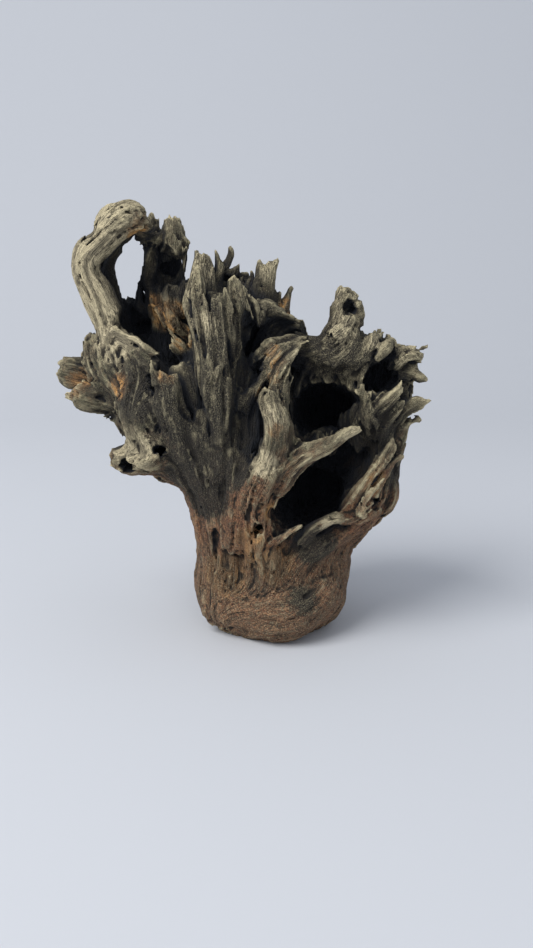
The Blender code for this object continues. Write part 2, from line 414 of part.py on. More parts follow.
def carve_middle(wood):
    """The pocket under the crown, its overhang and window, the ridge's cracks and the right slot."""
    wood.hollow((-23, -44, 209, 4.5), (-20, -46, 200, 7.5), (-18, -48, 189, 9), (-19, -50, 178, 7.5),
                blend=2)
    wood.hollow((-24, -28, 207, 5.5), (-21, -30, 198, 8), (-19, -20, 189, 9), (-20, -18, 180, 8), blend=2)
    wood.hollow((-12, -40, 201, 6.5), (-4, -36, 200, 6), (3, -30, 201, 4.5), blend=2)
    wood.hollow((-12, -24, 200, 7), (-5, -18, 200, 6.5), (1, -14, 200, 4.5))
    wood.hollow((-35, -20, 230, 2.5), (-36, 12, 229, 3), blend=1.5)
    wood.hollow((-31, -20, 231, 2.5), (-33, 12, 229, 3), blend=1.5)
    wood.hollow((-14, -56, 172, 2), (-7, -50, 181, 2), (-1, -42, 188, 2), blend=1.5)
    wood.hollow((-5, -58, 162, 1.5), (-3, -54, 174, 1.5), (4, -48, 184, 1.5), blend=1.5)
    wood.hollow((54, -40, 94, 3.5), (58, -40, 101, 3.5), (62, -36, 108, 2.5))
    wood.hollow((58, -30, 94, 4), (59, -14, 91, 3))
    wood.hollow((44, -48, 96, 1.5), (52, -46, 109, 2), (59, -42, 119, 1.5), blend=1)
    wood.hollow((60, -36, 96, 1.5), (66, -34, 106, 2), (71, -30, 116, 1.5), blend=1)


def carve_small_holes(wood):
    """Worm holes, rotted knots and the trunk's cracks."""
    wood.hollow((-99, -48, 119, 4.5), (-98, -34, 118, 4.5), (-94, -26, 118, 3), blend=1.5)
    wood.hollow((-77, -52, 133, 3.5), (-77, -30, 125, 3.5), blend=1.5)
    wood.hollow((-17, -64, 84, 2.2), (-17, -34, 75, 2), blend=1)
    wood.hollow((-16, -64, 87, 2.2), (-16, -34, 78, 2), blend=1)
    wood.hollow((-118, -30, 181, 2.5), (-121, -12, 176, 2.5), blend=1.5)
    wood.hollow((-119, -30, 170, 2), (-120, -14, 167, 2), blend=1.5)
    wood.hollow((-12, -64, 167, 1), (-12, -48, 165, 1), blend=0.8)
    wood.hollow((-47, -60, 132, 1.5), (-48, -58, 117, 1.5), (-48, -56, 103, 1.5), blend=1.5)
    wood.hollow((-43, -37, 78, 1.6), (-43, -36, 68, 2.3), (-44, -33, 58, 2.3), (-45, -31, 48, 1.5),
                blend=0.8)
    wood.hollow((-28, -39, 57, 0.8), (-21, -43, 55, 1.5), (-14, -47, 57, 0.8), blend=0.8)


def whole_piece():
    """Every limb and hollow, in the order in which they are made."""
    wood = Wood()
    for step in (add_foot, add_trunk, add_back, add_panel, add_column, add_crown, add_arm, add_ring,
                 add_arm_rim, add_lobe, add_low_burl, add_leaves, add_shell, carve_shell, add_strut,
                 add_finial, add_roof, add_right_top, add_shards, carve_left, carve_middle,
                 carve_small_holes):
        step(wood)
    return wood


def smooth_path(points, pieces):
    """Cut the smooth curve through the points into short straight pieces."""
    if len(points) < 3:
        return points
    ends = np.vstack([2 * points[0] - points[1], points, 2 * points[-1] - points[-2]])
    path = []
    for i in range(len(points) - 1):
        a, b, c, d = ends[i:i + 4]
        for j in range(pieces):
            t = j / pieces
            bend = 2 * a - 5 * b + 4 * c - d + t * (3 * b - a - 3 * c + d)
            path.append(b + 0.5 * t * (c - a + t * bend))
    path = np.array(path + [points[-1]])
    path[:, 3] = np.maximum(path[:, 3], 0.2)
    return path


def nearest_piece(place, start, end, thin=None):
    """Distance from every place to one tapered piece, in millimetres."""
    along = (end[:3] - start[:3]).astype(np.float32)
    away = [place[i] - np.float32(start[i]) for i in range(3)]
    t = away[0] * along[0] + away[1] * along[1] + away[2] * along[2]
    t /= np.float32(max(along @ along, 1e-9))
    np.clip(t, 0, 1, out=t)
    away = [away[i] - t * along[i] for i in range(3)]
    if thin is not None:
        normal = np.array(thin[:3], np.float32) / np.float32(math.hypot(*thin[:3]))
        push = (away[0] * normal[0] + away[1] * normal[1] + away[2] * normal[2]) * np.float32(thin[3] - 1)
        away = [away[i] + push * normal[i] for i in range(3)]
    radius = np.float32(start[3]) + t * np.float32(end[3] - start[3])
    return np.sqrt(away[0] ** 2 + away[1] ** 2 + away[2] ** 2) - radius


def melt(a, b, blend):
    """The smaller of two distances, rounded where they meet."""
    near = np.maximum(blend - np.abs(a - b), 0) / np.float32(blend)
    return np.minimum(a, b) - near * near * np.float32(blend / 4)


def grid_axes(step):
    """Sample places along x, y and z."""
    return [np.arange(LOW_CORNER[i], HIGH_CORNER[i], step, dtype=np.float32) for i in range(3)]


def smooth_field(wood, axes):
    """The distance to the wood at every sample, before the grain."""
    field = np.full([len(a) for a in axes], OUTSIDE, np.float32)
    for carve, points, blend, thin, _ in wood.strokes:
        margin = points[:, 3].max() + blend + 8
        box = tuple(slice(np.searchsorted(axes[i], points[:, i].min() - margin),
                          np.searchsorted(axes[i], points[:, i].max() + margin)) for i in range(3))
        place = np.meshgrid(*[axes[i][box[i]] for i in range(3)], indexing="ij")
        path = smooth_path(points, 4)
        shape = nearest_piece(place, path[0], path[1], thin)
        for start, end in zip(path[1:-1], path[2:]):
            shape = np.minimum(shape, nearest_piece(place, start, end, thin))
        field[box] = -melt(-field[box], shape, blend) if carve else melt(field[box], shape, blend)
    return field


class Lattice:
    """Numbers on a regular grid, read between its points; wrap makes the grid repeat."""

    def __init__(self, values, origin=(0.0, 0.0, 0.0), wrap=False):
        self.size = values.shape[:3]
        self.values = values.reshape(-1, values.shape[3])
        self.origin = np.array(origin, np.float32)
        self.wrap = wrap

    def read(self, place, cell):
        at = (place - self.origin) * np.float32(1 / cell)
        if not self.wrap:
            at = np.clip(at, 0, np.array(self.size, np.float32) - 1.001)
        low = np.floor(at).astype(np.int32)
        t = at - low
        if self.wrap:
            t = t * t * (3 - 2 * t)
            index = [np.mod(low, self.size[0]), np.mod(low + 1, self.size[0])]
        else:
            index = [low, low + 1]
        share = [1 - t, t]
        out = 0
        for i in (0, 1):
            for j in (0, 1):
                row = (index[i][:, 0] * self.size[1] + index[j][:, 1]) * self.size[2]
                weight = share[i][:, 0] * share[j][:, 1]
                for k in (0, 1):
                    out = out + self.values[row + index[k][:, 2]] * (weight * share[k][:, 2])[:, None]
        return out


def random_lattice(seed):
    """Smooth noise with a deviation of about one, always the same for a seed."""
    values = np.random.default_rng(seed).standard_normal((48, 48, 48, 1)).astype(np.float32)
    return Lattice(1.6 * values, wrap=True)


def grain_lattice(wood):
    """The direction of the grain and how rough it is, on a coarse grid."""
    axes = grid_axes(FLOW_STEP)
    place = np.meshgrid(*axes, indexing="ij")
    total = np.zeros(place[0].shape + (4,), np.float32)
    total[..., 2:] = 1e-4
    weights = np.full(place[0].shape, 1e-4, np.float32)
    for carve, points, _, _, rough in wood.strokes:
        if carve:
            continue
        path = smooth_path(points, 3)
        nearest = np.full(place[0].shape, np.inf, np.float32)
        direction = np.zeros(place[0].shape + (3,), np.float32)
        for start, end in zip(path[:-1], path[1:]):
            distance = nearest_piece(place, start, end)
            closer = distance < nearest
            nearest[closer] = distance[closer]
            direction[closer] = (end[:3] - start[:3]) / np.linalg.norm(end[:3] - start[:3])
        weight = np.exp(-np.clip(nearest, -12, 60) / np.float32(FLOW_REACH))
        total[..., :3] += weight[..., None] * direction
        total[..., 3] += weight * np.float32(rough)
        weights += weight
    total[..., :3] /= np.linalg.norm(total[..., :3], axis=-1, keepdims=True) + 1e-9
    total[..., 3] /= weights
    return Lattice(total, origin=LOW_CORNER)


def streaks(place, grain, noise, width, length):
    """Noise drawn out along the grain, with a deviation of about one."""
    steps = round(length / width)
    total = noise.read(place, width)[:, 0]
    power = 1.0
    for way in (1, -1):
        at = place
        for k in range(1, steps + 1):
            at = at + grain.read(at, FLOW_STEP)[:, :3] * np.float32(way * width)
            weight = 0.5 + 0.5 * math.cos(math.pi * k / (steps + 1))
            total = total + noise.read(at, width)[:, 0] * np.float32(weight)
            power += weight * weight
    return total / np.float32(math.sqrt(power))


def relief(place, ends, grain, noises):
    """Height of the grain at every place, in millimetres; ends is 1 where the skin lies across the grain."""
    flute_noise, rib_noise, crack_noise, lump_noise = noises
    height = LUMP_HEIGHT * lump_noise.read(place, LUMP_SIZE)[:, 0]
    height += KNOB_HEIGHT * crack_noise.read(place, KNOB_SIZE)[:, 0]
    flutes = streaks(place, grain, flute_noise, FLUTE_WIDTH, FLUTE_LENGTH)
    height += FLUTE_HEIGHT * (CREST - np.minimum(np.abs(flutes), CREST_SPREAD))
    ribs = streaks(place, grain, rib_noise, RIB_WIDTH, RIB_LENGTH)
    height += RIB_HEIGHT * (CREST - np.minimum(np.abs(ribs), CREST_SPREAD))
    height += SPLINTER_HEIGHT * ends ** 2 * np.clip(ribs + 0.5 * flutes, -1.6, 1.6)
    cracks = streaks(place, grain, crack_noise, CRACK_WIDTH, CRACK_LENGTH)
    height -= CRACK_DEPTH * np.clip((-cracks - CRACK_START) / CRACK_RAMP, 0, 1)
    return height * grain.read(place, FLOW_STEP)[:, 3]


def across_grain(field, near, place, grain):
    """1 at the broken ends, where the skin faces along the grain, and 0 along the limbs."""
    slope = np.stack([side[near] for side in np.gradient(field)], axis=1)
    slope /= np.linalg.norm(slope, axis=1, keepdims=True) + 1e-9
    return np.abs((slope * grain.read(place, FLOW_STEP)[:, :3]).sum(axis=1))


def add_grain(field, wood, axes):
    """Raise and sink the field near the skin by the grain's height."""
    grain = grain_lattice(wood)
    noises = [random_lattice(seed) for seed in (11, 23, 37, 51)]
    near = np.nonzero(np.abs(field) < RELIEF_BAND)
    place = np.stack([axes[i][near[i]] for i in range(3)], axis=1)
    ends = across_grain(field, near, place, grain)
    starts = range(0, len(place), CHUNK)
    with ThreadPoolExecutor(THREADS) as pool:
        chunks = [slice(start, start + CHUNK) for start in starts]
        heights = list(pool.map(lambda chunk: relief(place[chunk], ends[chunk], grain, noises), chunks))
    fade = np.clip((RELIEF_BAND - np.abs(field[near])) / RELIEF_FADE, 0, 1)
    field[near] -= np.concatenate(heights) * fade


def skin_of(field, axes):
    """Points and four-sided faces of the wood's skin, faces pointing out."""
    grid = openvdb.FloatGrid(OUTSIDE)
    grid.copyFromArray(field)
    points, quads = grid.convertToQuads(0.0)
    points = points * (axes[0][1] - axes[0][0]) + np.array([a[0] for a in axes])
    return points, quads


def keep_largest_body(mesh):
    """Remove crumbs that the grain has cut off, and bubbles inside the wood."""
    shape = bmesh.new()
    shape.from_mesh(mesh)
    unseen = set(shape.verts)
    bodies = []
    while unseen:
        front = [unseen.pop()]
        body = set(front)
        while front:
            vert = front.pop()
            for edge in vert.link_edges:
                other = edge.other_vert(vert)
                if other in unseen:
                    unseen.discard(other)
                    body.add(other)
                    front.append(other)
        bodies.append(body)
    bodies.sort(key=len)
    crumbs = [vert for body in bodies[:-1] for vert in body]
    bmesh.ops.delete(shape, geom=crumbs, context="VERTS")
    shape.to_mesh(mesh)
    shape.free()


def simplified(piece):
    """The object's mesh with only as many triangles as the solid needs."""
    faces = sum(len(face.vertices) - 2 for face in piece.data.polygons)
    reduce = piece.modifiers.new("Reduce", "DECIMATE")
    reduce.ratio = TRIANGLES / faces
    reduce.use_collapse_triangulate = True
    evaluated = piece.evaluated_get(bpy.context.evaluated_depsgraph_get())
    mesh = bpy.data.meshes.new_from_object(evaluated)
    piece.modifiers.remove(reduce)
    return mesh


def flatten_foot(mesh):
    """Put the points that touch the floor exactly on it."""
    for vert in mesh.vertices:
        if vert.co.z < FLAT_SNAP * METRES:
            vert.co.z = 0.0


def wood_material():
    """Grey-brown weathered wood."""
    material = bpy.data.materials.new("weathered_wood")
    material.use_nodes = True
    shader = material.node_tree.nodes["Principled BSDF"]
    shader.inputs["Base Color"].default_value = WOOD_COLOUR
    shader.inputs["Roughness"].default_value = WOOD_ROUGHNESS
    shader.inputs["Metallic"].default_value = 0.0
    return material


def build_driftwood():
    """Make the one solid and stand it on the origin."""
    wood = whole_piece()
    axes = grid_axes(GRID_STEP)
    field = smooth_field(wood, axes)
    add_grain(field, wood, axes)
    field = np.maximum(field, BELOW * axes[2][None, None, :])
    points, quads = skin_of(field, axes)
    mesh = bpy.data.meshes.new("driftwood")
    mesh.from_pydata((points * METRES).tolist(), [], quads.tolist())
    keep_largest_body(mesh)
    piece = bpy.data.objects.new("driftwood", mesh)
    bpy.context.scene.collection.objects.link(piece)
    piece.data = simplified(piece)
    flatten_foot(piece.data)
    piece.data.materials.clear()
    piece.data.materials.append(wood_material())
    piece.data.shade_smooth()


for old in list(bpy.data.objects):
    bpy.data.objects.remove(old)
build_driftwood()
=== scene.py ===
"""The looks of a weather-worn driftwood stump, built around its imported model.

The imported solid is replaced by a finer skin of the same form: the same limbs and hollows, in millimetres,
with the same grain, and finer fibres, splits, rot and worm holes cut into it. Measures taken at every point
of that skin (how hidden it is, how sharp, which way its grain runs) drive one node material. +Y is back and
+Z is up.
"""

import math
from concurrent.futures import ThreadPoolExecutor

import bmesh
import bpy
import numpy as np
import openvdb
from mathutils import Matrix, Vector


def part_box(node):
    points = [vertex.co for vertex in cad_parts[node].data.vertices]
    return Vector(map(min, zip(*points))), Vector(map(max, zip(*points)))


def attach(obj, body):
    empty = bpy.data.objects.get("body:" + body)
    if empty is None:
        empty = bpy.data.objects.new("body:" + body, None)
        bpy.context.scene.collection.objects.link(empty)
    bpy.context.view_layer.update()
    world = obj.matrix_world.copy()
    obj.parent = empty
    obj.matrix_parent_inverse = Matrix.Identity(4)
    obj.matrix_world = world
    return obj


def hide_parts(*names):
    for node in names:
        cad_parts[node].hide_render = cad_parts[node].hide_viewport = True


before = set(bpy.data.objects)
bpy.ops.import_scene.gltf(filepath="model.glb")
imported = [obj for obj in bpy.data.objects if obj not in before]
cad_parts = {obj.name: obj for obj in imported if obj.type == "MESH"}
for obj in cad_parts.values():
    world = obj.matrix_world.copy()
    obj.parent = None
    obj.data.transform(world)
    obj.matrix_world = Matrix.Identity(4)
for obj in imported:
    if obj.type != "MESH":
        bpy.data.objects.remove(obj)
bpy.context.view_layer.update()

# The drawing, in millimetres
LOW_CORNER = (-156.0, -74.0, -7.0)
HIGH_CORNER = (100.0, 88.0, 290.0)
COARSE_STEP = 2.0         # samples of the broad grain, as in the solid
FINE_STEP = 1.15          # samples of the skin
TRIANGLES = 195000
FLAT_SNAP = 0.25          # points this close to the floor lie on it
OUTSIDE = 30.0            # the field's value far from the wood
STROKE_MARGIN = 8.0       # how far around a limb its field is worked out
LATTICE_POINTS, LATTICE_GAIN = 48, 1.6    # of the random numbers that smooth noise is read from
CHUNK = 40000             # places worked on at a time
THREADS = 4

# Broad grain, as in the solid
BROAD_SEEDS = (11, 23, 37, 51)
RELIEF_BAND = 5.5
RELIEF_FADE = 2.0
LUMP_SIZE, LUMP_HEIGHT = 22.0, 1.1
KNOB_SIZE, KNOB_HEIGHT = 9.0, 0.45
FLUTE_WIDTH, FLUTE_LENGTH, FLUTE_HEIGHT = 5.0, 60.0, 1.0
RIB_WIDTH, RIB_LENGTH, RIB_HEIGHT = 2.6, 40.0, 0.5
CREST, CREST_SPREAD = 0.8, 1.6    # crests are sharp and the dips between them wide
SPLINTER_HEIGHT = 2.7             # how far broken ends stand out in splinters
CRACK_WIDTH, CRACK_LENGTH, CRACK_DEPTH = 2.4, 60.0, 2.0
CRACK_START, CRACK_RAMP = 1.2, 0.5
FLOW_STEP, FLOW_REACH, FLOW_RANGE = 5.0, 4.0, (-12, 60)    # of the grain's direction

# The gap between the ring and the crown, in millimetres
GAP_LOW, GAP_HIGH, GAP_STEP = 228, 262, 2
GAP_RADIUS = 1.9
GAP_MIDDLE, GAP_LEAN = -61.2, 0.15

# Fine grain, in millimetres
FINE_SEEDS = (61, 73, 87, 95)
SKIN_BAND = 2.4           # fine grain is worked out this close to the skin
FIBRE_WIDTH, FIBRE_LENGTH, FIBRE_DEPTH, FIBRE_RANGE = 1.8, 24.0, 0.22, (-2, 1.5)
SPLIT_WIDTH, SPLIT_LENGTH, SPLIT_DEPTH = 2.0, 34.0, 1.6
SPLIT_START, SPLIT_RAMP = 1.3, 0.4
ROT_SIZE, ROT_DEPTH, ROT_START, ROT_MOST = 3.4, 1.3, 0.6, 1.2
ROT_TOP, ROT_FADE = 105.0, 40.0   # rot ends at this height and is full this far below it
WORM_SEED, WORM_HOLES, WORM_RADIUS, WORM_DEPTH = 7, 45, (0.5, 1.2), 4.0
WORM_TAPER, WORM_BLEND, WORM_MARGIN = 0.6, 0.6, 4

# Measures for the material, in millimetres
SKY_DIRECTIONS = 26
SKY_REACHES = (2.5, 5.0, 10.0, 18.0, 30.0, 46.0)
SKY_SOFTNESS = 0.3
EDGE_REACH, BROAD_REACH = 2.4, 6.0
STREAK_SEED, STREAK_WIDTH, STREAK_LENGTH = 71, 1.7, 30.0
STAIN_EDGE = 1.6          # where a stain ends, in its radii

# Where the weather has left its colours, and where shade is painted: x, y, z and radius in millimetres. The
# dark places are partly stains and partly painted shade in recesses.
DARK_STAINS_AND_SHADE = ((-71, -52, 160, 13), (-71, -52, 172, 8), (-66, -50, 150, 12), (-58, -36, 163, 12),
               (-54, -42, 138, 15), (-54, -46, 128, 13), (-46, -46, 116, 15), (-50, -40, 98, 12),
               (-58, -38, 118, 15), (-44, -38, 100, 12), (-24, -46, 134, 15), (-23, -47, 158, 10),
               (-25, -46, 116, 9), (-40, -54, 166, 13), (-36, -50, 190, 13), (-34, -50, 150, 12),
               (-41, -47, 212, 6), (-88, -44, 162, 13), (-86, -36, 176, 9), (-30, -42, 186, 8),
               (30, -20, 186, 14), (46, -20, 184, 10), (-74, 12, 222, 16), (-102, 4, 222, 13),
               (20, -40, 68, 13), (57, -20, 138, 15), (50, -10, 131, 12), (-12, -20, 205, 8),
               (-23, -30, 204, 9), (62, -6, 172, 14), (10, -38, 30, 9), (-122, -22, 250, 8),
               (-128, -18, 226, 5), (-24, -40, 152, 12), (64, -6, 110, 14), (24, -28, 66, 7),
               (43, 4, 98, 10))
PALE_STAINS = ((-99, -18, 268, 19), (-120, -22, 240, 15), (-116, -22, 215, 13), (-104, -28, 196, 13),
               (37, -20, 221, 9), (35, -26, 203, 9), (55, -20, 190, 7), (74, -16, 186, 8),
               (-9, -58, 152, 8), (-13, -56, 125, 8), (12, -42, 188, 7), (-9, 0, 235, 7),
               (-53, -6, 238, 11), (-54, -20, 222, 8), (40, -56, 144, 7), (-92, -38, 129, 13),
               (-88, -34, 195, 5), (-8, -46, 60, 6), (30, -40, 84, 7), (-72, 2, 222, 7), (-47, -46, 205, 7))
RUST_STAINS = ((-92, -10, 262, 8), (-72, 2, 207, 9), (-79, 2, 203, 10), (-64, 0, 194, 9), (-68, -8, 192, 7),
               (-83, 5, 213, 7), (-70, -50, 177, 5), (-4, -42, 182, 5), (-8, -38, 190, 5),
               (-5, -44, 174, 5), (-13, -48, 165, 5), (-5, -46, 56, 12), (-20, -46, 60, 9),
               (-38, -34, 46, 13), (-21, -49, 74, 8), (0, 8, 212, 6), (-7, -50, 92, 6), (-6, -60, 146, 4),
               (-128, -14, 165, 9), (-100, -36, 168, 7), (58, -34, 106, 8))


def srgb(red, green, blue):
    """A linear colour from the 0 to 255 values of a screen colour."""
    return tuple(((c / 255 + 0.055) / 1.055) ** 2.4 for c in (red, green, blue)) + (1.0,)


# Colours of the wood
GREY_WOOD = srgb(92, 82, 63)
GREEN_WOOD = srgb(90, 87, 64)
TAN_WOOD = srgb(122, 101, 70)
BROWN_WOOD = srgb(136, 84, 56)
RUST_WOOD = srgb(160, 114, 78)
UMBER_WOOD = srgb(70, 50, 40)
FLECK_WOOD = srgb(190, 146, 100)
ORANGE_WOOD = srgb(156, 114, 72)
BRIGHT_ORANGE = srgb(214, 156, 86)
PALE_WOOD = srgb(214, 200, 160)
BLEACHED_WOOD = srgb(224, 208, 170)
# the dark wood of fibres, threads, streaks and specks, and also the colour of painted shade
DARK_WOOD_AND_SHADE = srgb(34, 29, 22)
# the colour of the dark stains, partly painted shade in recesses
STAIN_AND_SHADE_DARK = srgb(30, 27, 23)
# painted shade: the near-black, bluish colour laid deep in the hollows
HOLLOW_SHADE_BLACK = srgb(24, 28, 36)
WOOD_ROUGHNESS = 0.85

# Noises, each with its repeats in a metre and its detail
NOISE_ROUGHNESS = 0.6
PATCHES = (28.0, 4.0)
BLOTCHES = (90.0, 5.0)
MOTTLES = (45.0, 6.0)
PITS = (230.0, 5.0)
SPECKS = (480.0, 3.0)
WEAR = (60.0, 4.0)

# Tints: the measure where each begins, where it is full, its greatest share and its tone
GREEN_PATCHES = (0.42, 0.62, 1.0, GREEN_WOOD)
TAN_BLOTCHES = (0.50, 0.70, 1.0, TAN_WOOD)
RUST_BLOTCHES = (0.35, 0.70, 1.0, RUST_WOOD)
DARK_MOTTLES = (0.52, 0.66, 0.75, UMBER_WOOD)
DARK_PITS = (0.48, 0.40, 0.90, UMBER_WOOD)
PALE_FLECKS = (0.53, 0.62, 0.70, FLECK_WOOD)
# dark stains, partly painted shade in recesses
DARK_STAIN_AND_SHADE = (0.10, 0.65, 0.95, STAIN_AND_SHADE_DARK)
PALE_STAIN = (0.15, 0.75, 0.92, BLEACHED_WOOD)
RUST_STAIN = (0.15, 0.75, 0.85, ORANGE_WOOD)
DARK_FIBRES = (0.54, 0.46, 0.85, DARK_WOOD_AND_SHADE)
PALE_FIBRES = (0.53, 0.60, 0.55, PALE_WOOD)
DARK_STREAKS = (0.2, -1.0, 0.65, DARK_WOOD_AND_SHADE)
PALE_STREAKS = (0.4, 1.4, 0.30, PALE_WOOD)
ORANGE_STREAKS = (0.1, 1.0, 0.90, BRIGHT_ORANGE)
DARK_THREADS = (0.51, 0.44, 0.65, DARK_WOOD_AND_SHADE)
PALE_CHIPS = (0.53, 0.64, 0.50, PALE_WOOD)
DARK_SPECKS = (0.47, 0.36, 0.60, DARK_WOOD_AND_SHADE)
# painted shade: darker in grooves, where the skin bends inward
PAINTED_GROOVE_SHADE = (-0.02, -0.34, 0.95, DARK_WOOD_AND_SHADE)
# painted shade: darker where the skin is partly hidden
SHADED = (0.02, 0.35, 0.70, DARK_WOOD_AND_SHADE)
# painted shade: near black where the skin lies deep in a hollow
PAINTED_HOLLOW_SHADE = (0.18, 0.60, 1.0, HOLLOW_SHADE_BLACK)

# Where the tints fall
LEVEL_WANDER = 0.09               # how unevenly the brown ends, in metres
BROWN_TO_GREY = (0.08, 0.15)      # heights in metres
STAIN_BREAK = 1.4                 # how ragged the stains are
FOOT_STREAKS = 0.6                # the foot's fibres show less
WORN_SHARE = 0.35                 # how much of the fibres shows on the worn ring, arm and trunk
WORN_SIDE = (-0.085, -0.06)       # the ring and the arm lie left of this, in metres
CROWN_ABOVE, FOOT_BELOW = (0.125, 0.165), (0.07, 0.05)    # the trunk lies between, in metres
STREAKS_KEPT = 0.4                # the least share of the dark streaks
ORANGE_PLACES = (0.35, 0.8)       # how deep in a rust stain the orange lines show
STREAKY_WITH_HEIGHT, STREAKY = 1.5, (0.5, 0.85)
SHARP_EDGE, SHARP_SHARE = (0.1, 0.65), 0.72
BROAD_EDGE, BROAD_SHARE = (0.05, 0.6), 0.35
WEAR_RANGE, WEAR_LEAST = (0.3, 0.62), 0.35
DARK_KEPT = 0.9                   # dark stains and painted shade keep pale edges away
RUST_WITHOUT_SHADE = (0.1, 0.6)           # inside rust stains the hollows get no painted shade and keep their orange

# Fibres and threads of the material, in metres
FIBRE_READS = 9
FIBRE_SHADE_WIDTH, FIBRE_SHADE_LENGTH, FIBRE_BUMP = 0.0012, 0.0066, 0.006
THREAD_WIDTH, THREAD_LENGTH, THREAD_BUMP = 0.0007, 0.0044, 0.004
FIBRE_DETAIL = 1.0

# Floor, light and camera, in metres
FLOOR_HALF_WIDTH, FLOOR_FRONT, FLOOR_TOP = 3.0, -1.5, 4.0
BEND_START, BEND_RADIUS, BEND_ROWS = 0.7, 1.2, 25
FLOOR_COLOUR = srgb(204, 206, 210)
FLOOR_ROUGHNESS = 0.9
SKY_COLOUR, SKY_STRENGTH = (0.86, 0.91, 1.0, 1.0), 0.62
LAMP_PLACE, LAMP_AIM = (-1.3, -1.15, 1.9), (0, 0, 0.14)
LAMP_POWER, LAMP_SIZE = 52.0, 1.5
SENSOR_WIDTH = 36.0
CAMERA_LENS = SENSOR_WIDTH * 1000 / 948    # a focal length of 1000 pixels in a picture 948 pixels tall
CAMERA_PLACE = (-0.0112, -0.6355, 0.2622)
CAMERA_DOWN = 14                  # degrees below level
CAMERA_NEAR = 0.01


class Wood:
    """The limbs and hollows of the piece, in the order in which they are made."""

    def __init__(self):
        self.strokes = []

    def limb(self, *points, blend=4.0, thin=None, rough=1.0):
        """Add a tapered limb through points (x, y, z, radius); thin is (nx, ny, nz, times flatter)."""
        self.strokes.append((False, np.array(points, float), blend, thin, rough))

    def hollow(self, *points, blend=2.0):
        """Carve a tapered hollow through points (x, y, z, radius)."""
        self.strokes.append((True, np.array(points, float), blend, None, 0.0))


def add_foot(wood):
    """The rounded foot that the piece stands on."""
    wood.limb((-9, 0, 22, 36), (-8, 2, 50, 40), blend=8, rough=0.4)
    wood.limb((-40, -4, 36, 19.5), (-37, -3, 45, 20.5), blend=8, rough=0.4)
    wood.limb((14.5, -2, 25, 25.5), (20, 0, 45, 25.5), blend=8, rough=0.4)
    wood.limb((-18, -22, 23, 20.5), (0, -27, 21, 22), (18, -18, 30, 20), blend=8, rough=0.4)
    wood.limb((-20, 22, 24, 24), (6, 24, 30, 26), blend=8, rough=0.6)


def add_trunk(wood):
    """The short trunk and the mass behind the crown and the shell."""
    wood.limb((-8, 4, 40, 38), (-6, 6, 75, 40), (-2, 6, 112, 36), blend=10, rough=0.8)
    wood.limb((-35, -10, 25, 22.5), (-36, -14, 55, 20.5), (-39, -18, 83, 21), (-42, -20, 106, 21.5),
              (-49, -20, 127, 20), blend=8, rough=0.7)
    wood.limb((19, 0, 23, 23), (21, 0, 47, 22.5), (26, 2, 63, 22.5), (38, 6, 83, 25.5), (45, 8, 104, 26.5),
              blend=8, rough=0.6)
    wood.limb((0, 24, 36, 30.5), (2, 30, 78, 34.5), (2, 34, 119, 33), (-5, 32, 158, 25.5), blend=10)


def add_back(wood):
    """Old roots that run up the back, with two worn hollows between them."""
    wood.limb((-44, 30, 30, 14), (-42, 40, 70, 15), (-50, 44, 120, 16), (-62, 40, 150, 14),
              (-70, 34, 170, 10), blend=7)
    wood.limb((-12, 44, 26, 15), (-16, 56, 70, 14), (-20, 62, 115, 14), (-28, 58, 155, 13),
              (-34, 46, 190, 9), (-38, 36, 212, 6), blend=6)
    wood.limb((20, 38, 30, 15), (24, 52, 70, 14), (26, 60, 110, 14), (22, 58, 145, 12), (12, 46, 178, 9),
              (8, 38, 196, 5), blend=6)
    wood.limb((30, 26, 40, 13), (44, 42, 84, 13), (56, 44, 120, 13), (60, 38, 150, 11), (62, 26, 172, 8),
              blend=6)
    wood.hollow((4, 84, 128, 15), (2, 66, 126, 13), (0, 54, 124, 9), blend=6)
    wood.hollow((-46, 74, 138, 12), (-44, 58, 132, 9), (-40, 50, 128, 6), blend=5)
    wood.limb((26, 26, 65, 29), (38, 30, 99, 30), (39, 30, 127, 30), (35, 26, 152, 26.5),
              (36, 16, 170, 19.5), blend=10)


def add_panel(wood):
    """The mass of the panel at the front of the crown."""
    wood.limb((-30, -34, 115, 12.5), (-25, -36, 134, 11.5), (-24, -36, 150, 10.5), (-20, -34, 162, 8.5),
              blend=8, rough=0.6)
    wood.limb((-40, -28, 122, 19), (-36, -29, 145, 17), (-38, -29, 163, 16), (-43, -24, 188, 15),
              (-45, -16, 207, 13), blend=7, rough=0.9)
    wood.limb((-58, -8, 140, 16), (-56, -3, 163, 13), (-54, 2, 183, 10), blend=6, rough=0.9)
    wood.limb((-30, -26, 154, 12.5), (-29, -22, 169, 9.5), (-29, -14, 187, 7), (-28, -10, 202, 7),
              (-24, -4, 213, 6), blend=5, rough=0.9)


